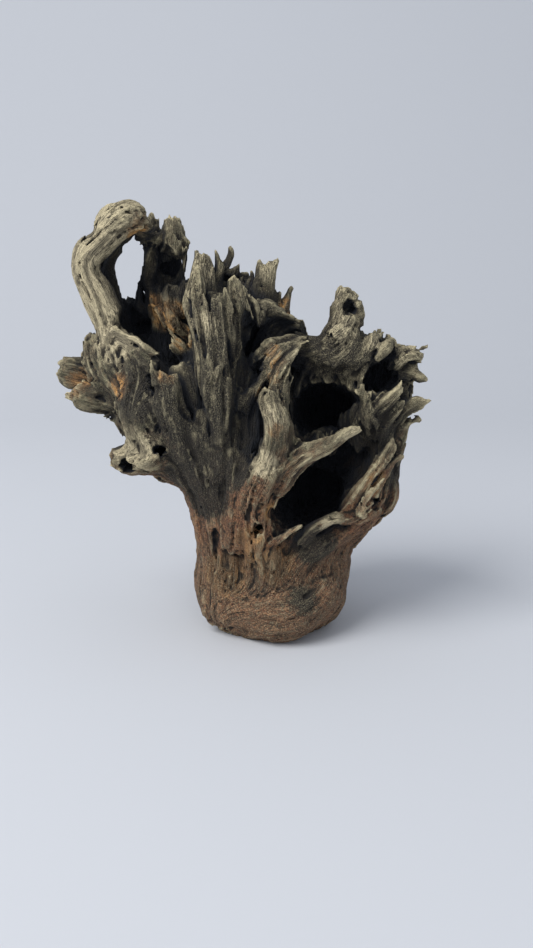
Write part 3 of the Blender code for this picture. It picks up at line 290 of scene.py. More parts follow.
def add_flutes(wood):
    """Flutes from the panel's left edge to its right, each ending in a point at the jagged top."""
    wood.limb((-40, -44, 138, 2), (-42, -46, 156, 4), (-47, -46, 179, 4), (-53, -43, 199, 3.5),
              (-57, -38, 211, 3), (-60, -35, 216, 1.5), blend=4, rough=0.8)
    wood.limb((-50, -38, 190, 4), (-54, -34, 204, 4), (-56, -25, 217, 4), (-56, -15, 228, 3), blend=4,
              rough=0.8)
    wood.limb((-41, -46, 140, 2), (-45, -50, 166, 3.5), (-47, -50, 191, 4), (-50, -45, 209, 4),
              (-52, -34, 224, 4), (-53, -20, 236, 2.5), blend=4, rough=0.8)
    wood.limb((-40, -47, 138, 2), (-42, -51, 159, 3), (-42, -51, 181, 3), (-44, -48, 203, 3),
              (-47, -44, 218, 2.5), (-49, -40, 228, 0.8), blend=3, rough=0.8)
    wood.limb((-37, -46, 134, 2), (-38, -50, 155, 3), (-39, -50, 181, 3), (-41, -48, 203, 2.5),
              (-43, -44, 217, 2.5), (-45, -40, 229, 0.8), blend=3, rough=0.8)
    wood.limb((-34, -45, 130, 2), (-34, -49, 149, 3.5), (-35, -50, 180, 3.5), (-37, -48, 203, 3),
              (-39, -45, 217, 2.5), (-40, -41, 228, 0.8), blend=3, rough=0.8)
    wood.limb((-32, -42, 189, 3), (-34, -43, 207, 3.5), (-35, -41, 219, 3), (-36, -38, 226, 2),
              (-36, -36, 229, 1), blend=3, rough=0.9)
    wood.limb((-17, -28, 203, 1.5), (-22, -30, 210, 2), (-26, -30, 219, 2.5), (-29, -28, 227, 2),
              (-29, -27, 233, 0.8), blend=5)
    wood.limb((-12, -22, 207, 1.5), (-17, -23, 213, 2), (-21, -23, 218, 2), (-24, -21, 223, 0.8), blend=5)
    wood.limb((-32, -38, 196, 4), (-30, -34, 210, 4.5), (-31, -30, 220, 4), (-32, -27, 227, 2), blend=4,
              rough=0.8)
    wood.limb((-38, -46, 139, 5), (-34, -46, 160, 4), (-32, -41, 177, 3.5), (-29, -36, 191, 3), blend=2.5,
              rough=0.8)
    # The curled lip across the flutes
    wood.limb((-46, -53, 160, 1.2), (-46, -55, 170, 1.2), (-42, -56, 177, 1.2), (-35, -54, 184, 0.8),
              blend=3, rough=0.5)
    # The cracks between the flutes, and the smooth valley on their right
    for crack in (((-46, -54, 166, 1), (-47, -54, 188, 1.2), (-51, -50, 209, 1.2), (-55, -44, 224, 1)),
                  ((-41, -54, 160, 1), (-41, -54, 182, 1.4), (-43, -52, 205, 1.4), (-46, -46, 224, 1)),
                  ((-37, -53, 172, 0.8), (-37, -53, 192, 1.4), (-39, -50, 210, 1.4), (-42, -45, 226, 1)),
                  ((-33, -50, 168, 1), (-33, -50, 190, 1.4), (-35, -47, 208, 1.4), (-38, -44, 224, 1))):
        wood.hollow(*crack, blend=1)
    wood.hollow((-26, -61, 122, 8.5), (-23, -59, 137, 12.5), (-21, -57, 153, 12.5), (-21, -55, 164, 8),
                blend=5)


def add_column(wood):
    """The root that climbs the front, and the double ridge that leaves its top for the crown."""
    wood.limb((-13, -20, 21, 14.5), (-12, -33, 54, 11.5), (-18, -42, 82, 11), (-18, -48, 101, 9),
              (-12, -52, 119, 7.5), (-7, -54, 135, 7.5), (-6, -54, 149, 7), (-10, -52, 161, 6.5),
              (-11, -52, 165, 4.5), blend=5, rough=0.8)
    wood.limb((-33, -36, 70, 7.5), (-30, -42, 88, 7.5), (-25, -46, 106, 6.5), (-16, -49, 122, 5), blend=6,
              rough=0.8)
    wood.limb((-1, -52, 134, 5), (-7, -50, 116, 5), (-13, -47, 100, 5), (-13, -43, 85, 5),
              (-10, -40, 74, 5), blend=3, rough=0.6)
    wood.limb((-24, -42, 159, 6.5), (-17, -42, 170, 6), (-9, -38, 181, 5.5), (1, -30, 190, 5),
              (9, -24, 195, 4.5), blend=4)
    wood.limb((-1, -50, 149, 5), (-6, -48, 162, 4), (-5, -45, 173, 4), (2, -38, 182, 4),
              (11, -30, 191, 3.5), blend=2.5)


def add_crown(wood):
    """The broken spikes and blades behind the panel."""
    # The broad left blade, in three fingers
    wood.limb((-51, -8, 205, 8.5), (-53, -6, 223, 7.5), (-54, -4, 235, 6.5), (-53, -2, 242, 5.5),
              (-53, -2, 244, 3.5), blend=3, thin=(0, 1, 0, 1.3), rough=0.3)
    wood.limb((-46, -4, 217, 5), (-47, -2, 229, 4.5), (-47, 0, 238, 4), (-48, 0, 243, 3), rough=0.3,
              blend=2)
    wood.limb((-57, -10, 213, 5), (-57, -8, 226, 4.5), (-55, -4, 235, 3.5), (-54, -3, 241, 2.5), blend=2,
              rough=0.3)
    # The thin spike, the hooked one and the bar over its window
    wood.limb((-43, 2, 212, 6.5), (-44, 4, 225, 5), (-41, 5, 236, 4), (-42, 6, 242, 3), (-43, 6, 246, 2),
              blend=2.5, rough=0.4)
    wood.limb((-40, 10, 225, 4), (-39, 12, 233, 3.5), (-36, 12, 239, 3), (-34, 11, 244, 3),
              (-34, 10, 247, 2.5), blend=2, rough=0.3)
    wood.limb((-40, 9, 234, 2.5), (-35, 9, 233, 2.5), (-30, 9, 236, 2), (-29, 9, 237, 1.5), rough=0.3,
              blend=1.5)
    wood.limb((-28, 12, 215, 4.5), (-28, 12, 224, 3), (-29, 10, 233, 2.5), blend=2, rough=0.3)
    # The mass behind, and a small plate on it
    wood.limb((-42, 18, 212, 8), (-36, 18, 223, 8.5), (-29, 17, 227, 7), blend=4)
    wood.limb((-10, 12, 195, 9), (2, 12, 191, 8), (14, 10, 185, 7), blend=4)
    wood.limb((-31, 8, 178, 15.5), (-28, 10, 193, 15.5), (-22, 12, 208, 12), (-19, 10, 217, 7.5),
              (-20, 9, 222, 5), blend=5)
    wood.limb((-22, 8, 214, 7.5), (-22, 8, 223, 5.5), (-20, 8, 228, 3), (-20, 8, 232, 2), blend=2,
              thin=(0, 1, 0, 1.5), rough=0.4)
    # The right blade with two corners
    wood.limb((-13, 4, 209, 8), (-13, 2, 221, 7), (-12, 2, 232, 6.5), (-13, 2, 236, 5), blend=2.5,
              thin=(0, 1, 0, 1.3), rough=0.5)
    wood.limb((-11, 4, 216, 5), (-10, 2, 228, 4), (-8, 2, 236, 3.5), (-6, 2, 240, 2.5), rough=0.5, blend=2)
    wood.limb((-16, 2, 222, 4), (-16, 2, 232, 3), (-16, 2, 237, 2), blend=2, rough=0.4)
    # The low spikes and lumps at the right end
    wood.limb((-3, 8, 202, 7), (-1, 10, 211, 5.5), (2, 11, 217, 3.5), (4, 12, 222, 2.5), blend=2.5,
              rough=0.4)
    wood.limb((-5, 6, 205, 5.5), (-5, 6, 215, 4), (-4, 6, 219, 3), blend=2, rough=0.4)
    wood.limb((-12, -6, 187, 10), (-6, -4, 198, 9.5), (0, -2, 202, 8), (4, -2, 201, 6.5), rough=0.8)
    wood.limb((-14, -30, 186, 5.5), (-7, -28, 192, 6), (2, -22, 193, 6), (10, -16, 191, 5.5),
              (16, -14, 190, 5), rough=0.8)
    wood.limb((-18, -16, 210, 6), (-12, -14, 213, 6), (-5, -12, 210, 5.5), (2, -10, 205, 5), blend=3,
              rough=0.8)


def add_arm(wood):
    """The thick arm on the left, from the trunk up to the ring."""
    wood.limb((-45, -18, 111, 19), (-62, -18, 130, 21.5), (-78, -18, 153, 20.5), (-94, -16, 169, 18.5),
              (-106, -12, 186, 13.5), blend=10, rough=0.7)
    wood.limb((-98, -16, 168, 16), (-105, -14, 190, 11), (-109, -14, 205, 10), (-115, -14, 220, 10),
              (-121, -14, 234, 8.5), (-120, -13, 244, 8.5), (-111, -12, 252, 8), (-103, -10, 261, 8.5),
              blend=6, rough=0.6)
    wood.limb((-106, 2, 191, 9), (-109, 4, 210, 7.5), (-113, 6, 225, 7), (-113, 7, 239, 7),
              (-106, 6, 250, 6.5), (-99, 4, 258, 6), blend=5, rough=0.7)
    wood.limb((-106, 18, 196, 6.5), (-111, 18, 218, 5), (-113, 17, 235, 5), (-106, 15, 247, 5), blend=5)
    wood.limb((-92, -16, 154, 15), (-86, -16, 138, 13.5), (-69, -16, 120, 15.5), blend=8)


def add_ring(wood):
    """The knob that closes the ring, its bridge, the posts on the right and the wall behind them."""
    wood.limb((-105, -12, 262, 8.5), (-99, -12, 265, 9), (-94, -10, 266, 8), (-90, -8, 267, 4.5), blend=5,
              rough=0.7)
    wood.limb((-109, -10, 258, 5), (-108, -10, 264, 6), (-107, -10, 268, 5.5), blend=2.5)
    wood.limb((-106, -8, 268, 5.5), (-100, -6, 271, 5.5), (-95, -5, 270, 5.5), (-91, -4, 269, 4), blend=3)
    wood.limb((-96, -8, 261, 5.5), (-89, -8, 264, 4.5), (-86, -4, 261, 3.5), blend=3)
    # The bridge and the knobs on it
    wood.limb((-91, 0, 259, 5.5), (-86, 2, 255, 5.5), (-79, 3, 254, 5), (-71, 2, 254, 5.5),
              (-65, 0, 249, 5), blend=3)
    wood.limb((-84, 8, 253, 5.5), (-84, 12, 260, 4.5), (-84, 12, 264, 2.5), blend=3)
    wood.limb((-69, -2, 249, 6), (-70, -2, 257, 5.5), (-71, -2, 262, 4.5), (-71, -2, 266, 2), blend=3)
    wood.limb((-66, 2, 251, 4), (-66, 2, 258, 3), (-67, 2, 262, 2), blend=2)
    # The right post, the brown left post and its flake
    wood.limb((-66, 8, 212, 5.5), (-63, 4, 226, 3), (-63, 0, 240, 3.5), (-64, -2, 248, 4.5), rough=0.6)
    wood.limb((-88, 18, 203, 8), (-84, 15, 215, 6), (-87, 12, 228, 5.5), (-85, 8, 239, 5),
              (-84, 6, 247, 5.5), blend=3, rough=0.9)
    wood.limb((-93, 16, 212, 4.5), (-92, 15, 223, 3.5), (-91, 13, 232, 2.5), (-89, 12, 239, 2), blend=2,
              rough=0.3)
    # The wall behind, and the lump in front of it
    wood.limb((-74, 26, 185, 14.5), (-76, 26, 203, 13), (-75, 24, 220, 11), (-75, 22, 236, 9.5),
              (-75, 16, 249, 7.5), blend=5, rough=0.6)
    wood.limb((-89, 28, 180, 12), (-95, 28, 196, 10.5), (-99, 26, 207, 7), (-101, 24, 212, 5), blend=5,
              rough=0.5)
    wood.limb((-78, 24, 208, 8), (-88, 22, 213, 6), (-92, 20, 221, 3.5), blend=3, rough=0.9)
    wood.limb((-76, 14, 200, 6.5), (-73, 8, 211, 6), (-75, 6, 218, 5.5), (-71, 7, 223, 3), blend=4)
    wood.limb((-64, 8, 190, 6), (-70, 4, 199, 5), (-77, 4, 208, 4), (-84, 6, 214, 3), blend=3)
    wood.limb((-58, 0, 178, 5), (-66, -4, 187, 4), (-76, -6, 194, 3), (-84, -6, 201, 2), blend=3)


def add_arm_rim(wood):
    """The thin curled edge along the top of the arm's front face."""
    wood.limb((-99, -24, 194, 5), (-92, -30, 188, 5), (-84, -34, 183, 5), (-78, -38, 181, 3), blend=5,
              rough=0.5)
    wood.limb((-104, -24, 201, 2.5), (-96, -29, 197, 2.5), (-88, -34, 195, 2.2), (-82, -37, 190, 2.2),
              (-77, -39, 188, 1.5), blend=2.5, rough=0.3)


def add_lobe(wood):
    """The square plate and the burl that stand out on the far left."""
    wood.limb((-107, -12, 160, 12.5), (-116, -12, 176, 9.5), (-119, -10, 187, 7.5), blend=6)
    wood.limb((-117, -4, 171, 7.5), (-127, -4, 175, 6.5), (-136, -4, 177, 5.5), (-139, -4, 177, 4.5),
              blend=5, thin=(0.2, 1, 0, 1.3), rough=0.7)
    wood.limb((-118, -4, 164, 7.5), (-128, -4, 169, 5.5), (-136, -4, 170, 5), (-140, -4, 171, 4.5), blend=5,
              thin=(0.2, 1, 0, 1.3), rough=0.7)
    wood.limb((-115, -4, 160, 6.5), (-126, -4, 164, 4), (-135, -4, 164, 4), (-138, -4, 165, 4), blend=5,
              rough=0.7)
    wood.limb((-102, -14, 154, 10.5), (-113, -16, 154, 8.5), (-122, -16, 155, 8), (-128, -16, 157, 6),
              (-130, -16, 157, 4.5))
    wood.limb((-111, -22, 164, 3), (-117, -23, 162, 3), (-125, -20, 163, 2.5), blend=3)


def add_low_burl(wood):
    """The hollow-ended burl low on the left."""
    wood.limb((-68, -20, 123, 16.5), (-82, -26, 123, 13), (-91, -28, 123, 11.5), (-97, -28, 121, 10.5),
              (-101, -28, 121, 8.5), blend=6, rough=0.45)
    wood.limb((-106, -14, 150, 8), (-98, -18, 143, 9), (-90, -22, 134, 10), blend=5, rough=0.5)
    wood.limb((-90, -24, 133, 5.5), (-95, -24, 133, 4))
    wood.limb((-76, -42, 123, 3.5), (-82, -42, 120, 3.5), (-87, -41, 122, 2.5), blend=3)


def add_leaves(wood):
    """Thin plates that lie like leaves between the arm and the panel."""
    wood.limb((-58, -30, 118, 13), (-63, -35, 134, 13), (-68, -42, 150, 9), blend=8, rough=0.6)
    wood.limb((-68, -44, 145, 9.5), (-71, -48, 157, 8), (-71, -49, 168, 7), (-74, -49, 174, 4), blend=2,
              thin=(0.3, 1, 0, 2.2), rough=0.8)
    wood.limb((-76, -49, 172, 2.5), (-79, -49, 181, 1.2), (-81, -47, 190, 0.8), blend=2, rough=0.5)
    wood.limb((-88, -32, 176, 9), (-88, -34, 160, 10), (-88, -34, 146, 11), (-78, -34, 130, 11), blend=9,
              rough=0.6)
    wood.limb((-62, -42, 150, 5.5), (-65, -46, 160, 4.5), (-66, -48, 168, 3.5), (-67, -48, 175, 1.5),
              blend=1.5, thin=(0.3, 1, 0, 1.8), rough=0.8)
    wood.limb((-58, -30, 142, 11), (-59, -37, 158, 9.5), (-60, -39, 167, 9), (-63, -39, 174, 7),
              (-66, -38, 180, 3), blend=2, thin=(0.2, 1, 0, 2.4), rough=0.4)
    wood.limb((-58, -32, 160, 5), (-57, -33, 170, 4), (-58, -33, 178, 2), blend=1.5, thin=(0.2, 1, 0, 1.8),
              rough=0.7)
    wood.limb((-50, -38, 124, 11), (-53, -42, 138, 9.5), (-51, -43, 147, 6.5), (-48, -42, 152, 3), blend=3,
              thin=(0.2, 1, 0, 1.8), rough=0.7)


def add_shell(wood):
    """The shell on the right before it is hollowed, with its raised rim."""
    wood.limb((32, 6, 79, 25.5), (39, 6, 98, 32), (40, 6, 121, 34.5), (39, 6, 149, 34), blend=10)
    wood.limb((39, 2, 150, 32.5), (36, 0, 166, 27), (34, -2, 175, 20.5), blend=8)
    wood.limb((57, 4, 152, 22), (62, 2, 167, 19), (66, 0, 173, 15.5), blend=8)
    wood.limb((7, -46, 120, 6), (0, -50, 137, 5), (-1, -50, 152, 5), (-2, -47, 166, 4), (2, -43, 178, 4),
              (11, -38, 188, 4), (21, -32, 194, 4), (32, -24, 199, 5))


def carve_shell(wood):
    """The two deep hollows of the shell, the pocket beside the upper one and the scoop at the right."""
    wood.hollow((15, -60, 176, 17.5), (23, -40, 177, 20), (31, -28, 177, 18), (50, -34, 181, 10), blend=3)
    wood.hollow((21, -64, 160, 21.5), (23, -34, 154, 20.5), (24, -4, 148, 20), (27, 18, 143, 16.5),
                blend=2.5)
    wood.hollow((34, -52, 155, 14), (34, -30, 153, 14), (32, -4, 150, 14), blend=2.5)
    wood.hollow((56, -54, 174, 14), (59, -32, 172, 13), (59, -8, 168, 11), blend=2)
    wood.hollow((39, -66, 137, 25.5), (39, -44, 128, 26), (39, -20, 120, 22), (35, 6, 113, 14.5), blend=5)
    wood.hollow((14, -64, 104, 23.5), (15, -36, 96, 24), (17, -8, 92, 22), (21, 16, 91, 17), blend=2.5)
    wood.hollow((38, -56, 116, 15), (39, -34, 113, 15), (34, -8, 106, 14), blend=4)


def add_strut(wood):
    """The pointed strut in front of the shell, and the ledge behind it that parts the hollows."""
    wood.limb((8, -42, 128, 5.5), (20, -24, 128, 5.5), (30, 2, 126, 6.5), blend=5, rough=0.5)
    wood.limb((-4, -48, 107, 5.5), (1, -50, 120, 8), (9, -52, 127, 7.5), (18, -53, 131, 6.5),
              (28, -54, 136, 5.5), (36, -55, 142, 4), (44, -56, 146, 2), blend=3, thin=(0, 1, 0.2, 1.25),
              rough=0.9)
    wood.limb((-9, -46, 96, 4), (-4, -45, 108, 4), (3, -46, 118, 5), blend=3)


def add_finial(wood):
    """The knob with a hole that stands on top of the shell."""
    wood.limb((33, -14, 192, 13), (35, -14, 201, 9.5), (37, -14, 209, 9.5), (37, -14, 215, 7.5),
              (35, -14, 221, 4), (34, -14, 225, 1.5), blend=5, rough=0.6)
    wood.limb((31, -14, 212, 3.5), (38, -16, 217, 4.5), (43, -14, 212, 4.5), (44, -14, 206, 4), blend=3,
              rough=0.6)
    wood.hollow((41, -34, 214, 4.5), (41, -24, 213, 5.5), (40, -17, 213, 4.5))


def add_roof(wood):
    """The smooth worn roof of the upper hollow, below the knob."""
    wood.limb((10, -12, 186, 5), (22, -18, 186, 6.5), (35, -21, 184, 7), (46, -20, 181, 5.5), blend=6,
              rough=0.2)
    wood.limb((8, -6, 179, 5), (20, -11, 177, 6), (32, -13, 176, 6), (44, -15, 176, 5), blend=6, rough=0.2)


def add_right_top(wood):
    """Ridges, lumps and spurs along the shell's right shoulder."""
    wood.limb((44, -22, 185, 3.5), (42, -20, 189, 4.5), (40, -16, 194, 5.5), blend=4, rough=0.4)
    wood.limb((50, -24, 184, 3), (53, -20, 188, 4.5), (54, -14, 192, 5), (58, -6, 194, 3), blend=3,
              rough=0.7)
    wood.limb((59, -25, 186, 3), (62, -22, 188, 4.5), (64, -16, 190, 3.5), blend=3, rough=0.7)
    wood.limb((60, 4, 184, 8.5), (61, 6, 190, 5))
    wood.limb((71, -12, 180, 7), (74, -14, 184, 6), (78, -14, 185, 5))
    wood.limb((73, -2, 185, 5.5), (76, -2, 187, 4), blend=3)
    # The stalk, the edge below it and the spur
    wood.limb((80, -6, 184, 2.5), (85, -6, 186, 1.5), (88, -6, 188, 2), blend=2, rough=0.3)
    wood.limb((80, -12, 181, 3.5), (80, -12, 176, 3), (78, -12, 171, 4), blend=3)
    wood.limb((75, -10, 172, 5), (79, -14, 171, 3.5), (85, -16, 169, 2.5), blend=3, rough=0.6)
    wood.limb((77, 2, 171, 6), (79, 2, 160, 5), (78, 2, 149, 7))
    wood.limb((79, -4, 163, 4), (82, -4, 161, 2), blend=2)


def add_shards(wood):
    """The shell's right wall, the shards nested in it and its lower lip."""
    wood.limb((44, -2, 137, 9.5), (51, -16, 148, 8), (60, -26, 156, 6.5), (68, -32, 164, 3.5),
              (70, -34, 168, 1.5), blend=2, thin=(0.5, 1, 0.35, 1.8))
    wood.limb((49, -2, 127, 9.5), (58, -14, 140, 7.5), (67, -22, 150, 5.5), (74, -26, 157, 2.5), blend=2,
              thin=(0.5, 1, 0.35, 1.8))
    wood.limb((64, -8, 139, 7.5), (72, -14, 148, 6.5), (79, -18, 153, 5), (84, -20, 156, 3.5),
              (87, -20, 157, 2), blend=2, thin=(0.5, 1, 0.35, 1.6))
    wood.limb((65, -4, 123, 9), (72, -8, 132, 6.5), (77, -12, 139, 4), (82, -14, 142, 2), blend=2,
              thin=(0.5, 1, 0.35, 1.5))
    wood.limb((56, 2, 77, 9), (64, 2, 91, 7), (68, -2, 108, 6.5), (72, -4, 123, 6), (75, -4, 130, 4),
              blend=3, thin=(0.8, 1, 0, 1.2))
    wood.limb((41, -30, 89, 6.5), (48, -34, 102, 6.5), (55, -34, 112, 5.5), (62, -30, 121, 4.5),
              (67, -28, 130, 1.5), blend=2, thin=(0.6, 1, 0.2, 2.4))
    wood.limb((47, -38, 88, 5), (54, -42, 101, 4.5), (60, -42, 110, 3), (65, -40, 117, 1), blend=1.5,
              thin=(0.6, 1, 0.2, 2.2))
    wood.limb((53, -28, 94, 4), (60, -28, 107, 3.5), (66, -26, 115, 3), (71, -24, 119, 1.5), blend=1.5)
    wood.limb((66, -6, 82, 4), (70, -6, 90, 4.5), (70, -6, 97, 3.5), blend=2.5)
    # The lip of the lower hollow, and the prong at its left end
    wood.limb((8, -28, 58, 10), (22, -27, 66, 10), (36, -22, 72, 10), (50, -13, 78, 8.5), blend=7,
              rough=0.5)
    wood.limb((10, -38, 71, 4), (17, -40, 79, 4), (27, -38, 84, 4), (37, -34, 84, 4.5), (46, -28, 82, 5),
              (59, -18, 85, 5), blend=5, rough=0.5)
    wood.limb((-8, -45, 71, 4), (-3, -46, 74, 3), (2, -47, 78, 3), (8, -48, 82, 2.5), blend=2.5, rough=0.4)
    wood.hollow((6, -56, 76, 2.2), (8, -42, 76, 2.5), (11, -34, 80, 3), blend=1)


def carve_left(wood):
    """The ring's eye, the pocket beside it, and the gulf and crevice that part the arm from the panel."""
    wood.hollow((-93, -40, 241, 4.7), (-104, 40, 238, 5.7), blend=1.5)
    wood.hollow((-91, -40, 248, 3.4), (-102, 40, 247, 4.3), blend=1.5)
    wood.hollow((-95, -40, 229, 3.9), (-106, 40, 226, 4.7), blend=1.5)
    # The leaning gap between the ring's right post and the crown
    for height in range(GAP_LOW, GAP_HIGH, GAP_STEP):
        across = GAP_MIDDLE + GAP_LEAN * (height - GAP_LOW)
        wood.hollow((across, -30, height, GAP_RADIUS), (across + 1, 30, height + 2, GAP_RADIUS), blend=0.5)
    wood.hollow((-72, -18, 243, 7.5), (-72, -12, 232, 7.5), blend=1.5)
    wood.hollow((-72, -2, 241, 8.5), (-72, 2, 232, 8.5), (-73, 16, 236, 7), blend=1.5)
    wood.hollow((-91, -34, 209, 9), (-93, -8, 205, 9.5), (-94, 8, 202, 9), (-92, 18, 197, 7), blend=2)
    wood.hollow((-81, -30, 197, 7), (-73, -24, 192, 7.5), (-61, -26, 188, 5.5), (-52, -36, 178, 3),
                (-49, -42, 164, 3.5))
    wood.hollow((-79, -12, 193, 8.5), (-75, 4, 189, 9), (-68, 4, 189, 7.5), blend=2)
    # Cracks beside the leaf, and the crevice by the panel's left edge
    wood.hollow((-80, -52, 184, 2.5), (-79, -54, 174, 2), (-77, -54, 167, 2), (-81, -54, 161, 2),
                (-84, -52, 156, 1.8), (-84, -50, 149, 1), blend=0.8)
    wood.hollow((-80, -43, 184, 2.5), (-79, -43, 174, 2), (-77, -43, 167, 2), (-81, -43, 161, 2),
                (-84, -43, 156, 1.8), (-84, -44, 149, 1), blend=0.8)
    wood.hollow((-71, -52, 182, 2.5), (-65, -55, 178, 2.5), (-62, -55, 173, 2.5), (-60, -54, 163, 2),
                blend=1.2)
    wood.hollow((-59, -38, 192, 4), (-53.5, -42, 181, 3.5), (-49, -46, 171, 3), (-50, -48, 162, 2),
                blend=1.5)
    wood.hollow((-63, -24, 193, 5.5), (-56, -26, 183, 4.5), (-51, -32, 172, 3), (-50, -38, 163, 2), blend=1.5)
    wood.hollow((-76, -34, 189, 4), (-68, -36, 186, 4.5), (-61, -30, 183, 5), blend=1.5)


def carve_middle(wood):
    """The pocket under the crown, its overhang and window, the ridge's cracks and the right slot."""
    wood.hollow((-23, -44, 209, 4.5), (-20, -46, 200, 7.5), (-18, -48, 189, 9), (-19, -50, 178, 7.5),
                blend=2)
    wood.hollow((-24, -28, 207, 5.5), (-21, -30, 198, 8), (-19, -20, 189, 9), (-20, -18, 180, 8), blend=2)
    wood.hollow((-12, -40, 201, 6.5), (-4, -36, 200, 6), (3, -30, 201, 4.5), blend=2)
    wood.hollow((-12, -24, 200, 7), (-5, -18, 200, 6.5), (1, -14, 200, 4.5))
    wood.hollow((-35, -20, 230, 2.5), (-36, 12, 229, 3), blend=1.5)
    wood.hollow((-31, -20, 231, 2.5), (-33, 12, 229, 3), blend=1.5)
    wood.hollow((-14, -56, 172, 2), (-7, -50, 181, 2), (-1, -42, 188, 2), blend=1.5)
    wood.hollow((-5, -58, 162, 1.5), (-3, -54, 174, 1.5), (4, -48, 184, 1.5), blend=1.5)
    wood.hollow((54, -40, 94, 3.5), (58, -40, 101, 3.5), (62, -36, 108, 2.5))
    wood.hollow((58, -30, 94, 4), (59, -14, 91, 3))
    wood.hollow((44, -48, 96, 1.5), (52, -46, 109, 2), (59, -42, 119, 1.5), blend=1)
    wood.hollow((60, -36, 96, 1.5), (66, -34, 106, 2), (71, -30, 116, 1.5), blend=1)


def carve_small_holes(wood):
    """Worm holes, rotted knots and the trunk's cracks."""
    wood.hollow((-99, -48, 119, 4.5), (-98, -34, 118, 4.5), (-94, -26, 118, 3), blend=1.5)
    wood.hollow((-77, -52, 133, 3.5), (-77, -30, 125, 3.5), blend=1.5)
    wood.hollow((-17, -64, 84, 2.2), (-17, -34, 75, 2), blend=1)
    wood.hollow((-16, -64, 87, 2.2), (-16, -34, 78, 2), blend=1)
    wood.hollow((-118, -30, 181, 2.5), (-121, -12, 176, 2.5), blend=1.5)
    wood.hollow((-119, -30, 170, 2), (-120, -14, 167, 2), blend=1.5)
    wood.hollow((-12, -64, 167, 1), (-12, -48, 165, 1), blend=0.8)
    wood.hollow((-47, -60, 132, 1.5), (-48, -58, 117, 1.5), (-48, -56, 103, 1.5), blend=1.5)
    wood.hollow((-43, -37, 78, 1.6), (-43, -36, 68, 2.3), (-44, -33, 58, 2.3), (-45, -31, 48, 1.5),
                blend=0.8)
    wood.hollow((-28, -39, 57, 0.8), (-21, -43, 55, 1.5), (-14, -47, 57, 0.8), blend=0.8)


def whole_piece():
    """Every limb and hollow, in the order in which they are made."""
    wood = Wood()
    for step in (add_foot, add_trunk, add_back, add_panel, add_flutes, add_column, add_crown, add_arm,
                 add_ring, add_arm_rim, add_lobe, add_low_burl, add_leaves, add_shell, carve_shell,
                 add_strut, add_finial, add_roof, add_right_top, add_shards, carve_left, carve_middle,
                 carve_small_holes):
        step(wood)
    return wood


def smooth_path(points, pieces):
    """Cut the smooth curve through the points into short straight pieces."""
    if len(points) < 3:
        return points
    ends = np.vstack([2 * points[0] - points[1], points, 2 * points[-1] - points[-2]])
    path = []
    for i in range(len(points) - 1):
        a, b, c, d = ends[i:i + 4]
        for j in range(pieces):
            t = j / pieces
            bend = 2 * a - 5 * b + 4 * c - d + t * (3 * b - a - 3 * c + d)
            path.append(b + 0.5 * t * (c - a + t * bend))
    path = np.array(path + [points[-1]])
    path[:, 3] = np.maximum(path[:, 3], 0.2)
    return path


def nearest_piece(place, start, end, thin=None):
    """Distance from every place to one tapered piece, in millimetres."""
    along = (end[:3] - start[:3]).astype(np.float32)
    away = [place[i] - np.float32(start[i]) for i in range(3)]
    t = away[0] * along[0] + away[1] * along[1] + away[2] * along[2]
    t /= np.float32(max(along @ along, 1e-9))
    np.clip(t, 0, 1, out=t)
    away = [away[i] - t * along[i] for i in range(3)]
    if thin is not None:
        normal = np.array(thin[:3], np.float32) / np.float32(math.hypot(*thin[:3]))
        push = (away[0] * normal[0] + away[1] * normal[1] + away[2] * normal[2]) * np.float32(thin[3] - 1)
        away = [away[i] + push * normal[i] for i in range(3)]
    radius = np.float32(start[3]) + t * np.float32(end[3] - start[3])
    return np.sqrt(away[0] ** 2 + away[1] ** 2 + away[2] ** 2) - radius


def melt(a, b, blend):
    """The smaller of two distances, rounded where they meet."""
    near = np.maximum(blend - np.abs(a - b), 0) / np.float32(blend)
    return np.minimum(a, b) - near * near * np.float32(blend / 4)


def grid_axes(step):
    """Sample places along x, y and z."""
    return [np.arange(LOW_CORNER[i], HIGH_CORNER[i], step, dtype=np.float32) for i in range(3)]


def smooth_field(wood, axes):
    """The distance to the wood at every sample, before the grain."""
    field = np.full([len(a) for a in axes], OUTSIDE, np.float32)
    for carve, points, blend, thin, _ in wood.strokes:
        margin = points[:, 3].max() + blend + STROKE_MARGIN
        box = tuple(slice(np.searchsorted(axes[i], points[:, i].min() - margin),
                          np.searchsorted(axes[i], points[:, i].max() + margin)) for i in range(3))
        place = np.meshgrid(*[axes[i][box[i]] for i in range(3)], indexing="ij")
        path = smooth_path(points, 4)
        shape = nearest_piece(place, path[0], path[1], thin)
        for start, end in zip(path[1:-1], path[2:]):
            shape = np.minimum(shape, nearest_piece(place, start, end, thin))
        field[box] = -melt(-field[box], shape, blend) if carve else melt(field[box], shape, blend)
    return field


class Lattice:
    """Numbers on a regular grid, read between its points; wrap makes the grid repeat."""

    def __init__(self, values, origin=(0.0, 0.0, 0.0), wrap=False):
        self.size = values.shape[:3]
        self.values = values.reshape(-1, values.shape[3])
        self.origin = np.array(origin, np.float32)
        self.wrap = wrap

    def read(self, place, cell):
        """The numbers at every place, with the grid's points cell apart."""
        at = (place - self.origin) * np.float32(1 / cell)
        if not self.wrap:
            at = np.clip(at, 0, np.array(self.size, np.float32) - 1.001)
        low = np.floor(at).astype(np.int32)
        t = at - low
        if self.wrap:
            t = t * t * (3 - 2 * t)
            index = [np.mod(low, self.size[0]), np.mod(low + 1, self.size[0])]
        else:
            index = [low, low + 1]
        share = [1 - t, t]
        out = 0
        for i in (0, 1):
            for j in (0, 1):
                row = (index[i][:, 0] * self.size[1] + index[j][:, 1]) * self.size[2]
                weight = share[i][:, 0] * share[j][:, 1]
                for k in (0, 1):
                    out = out + self.values[row + index[k][:, 2]] * (weight * share[k][:, 2])[:, None]
        return out


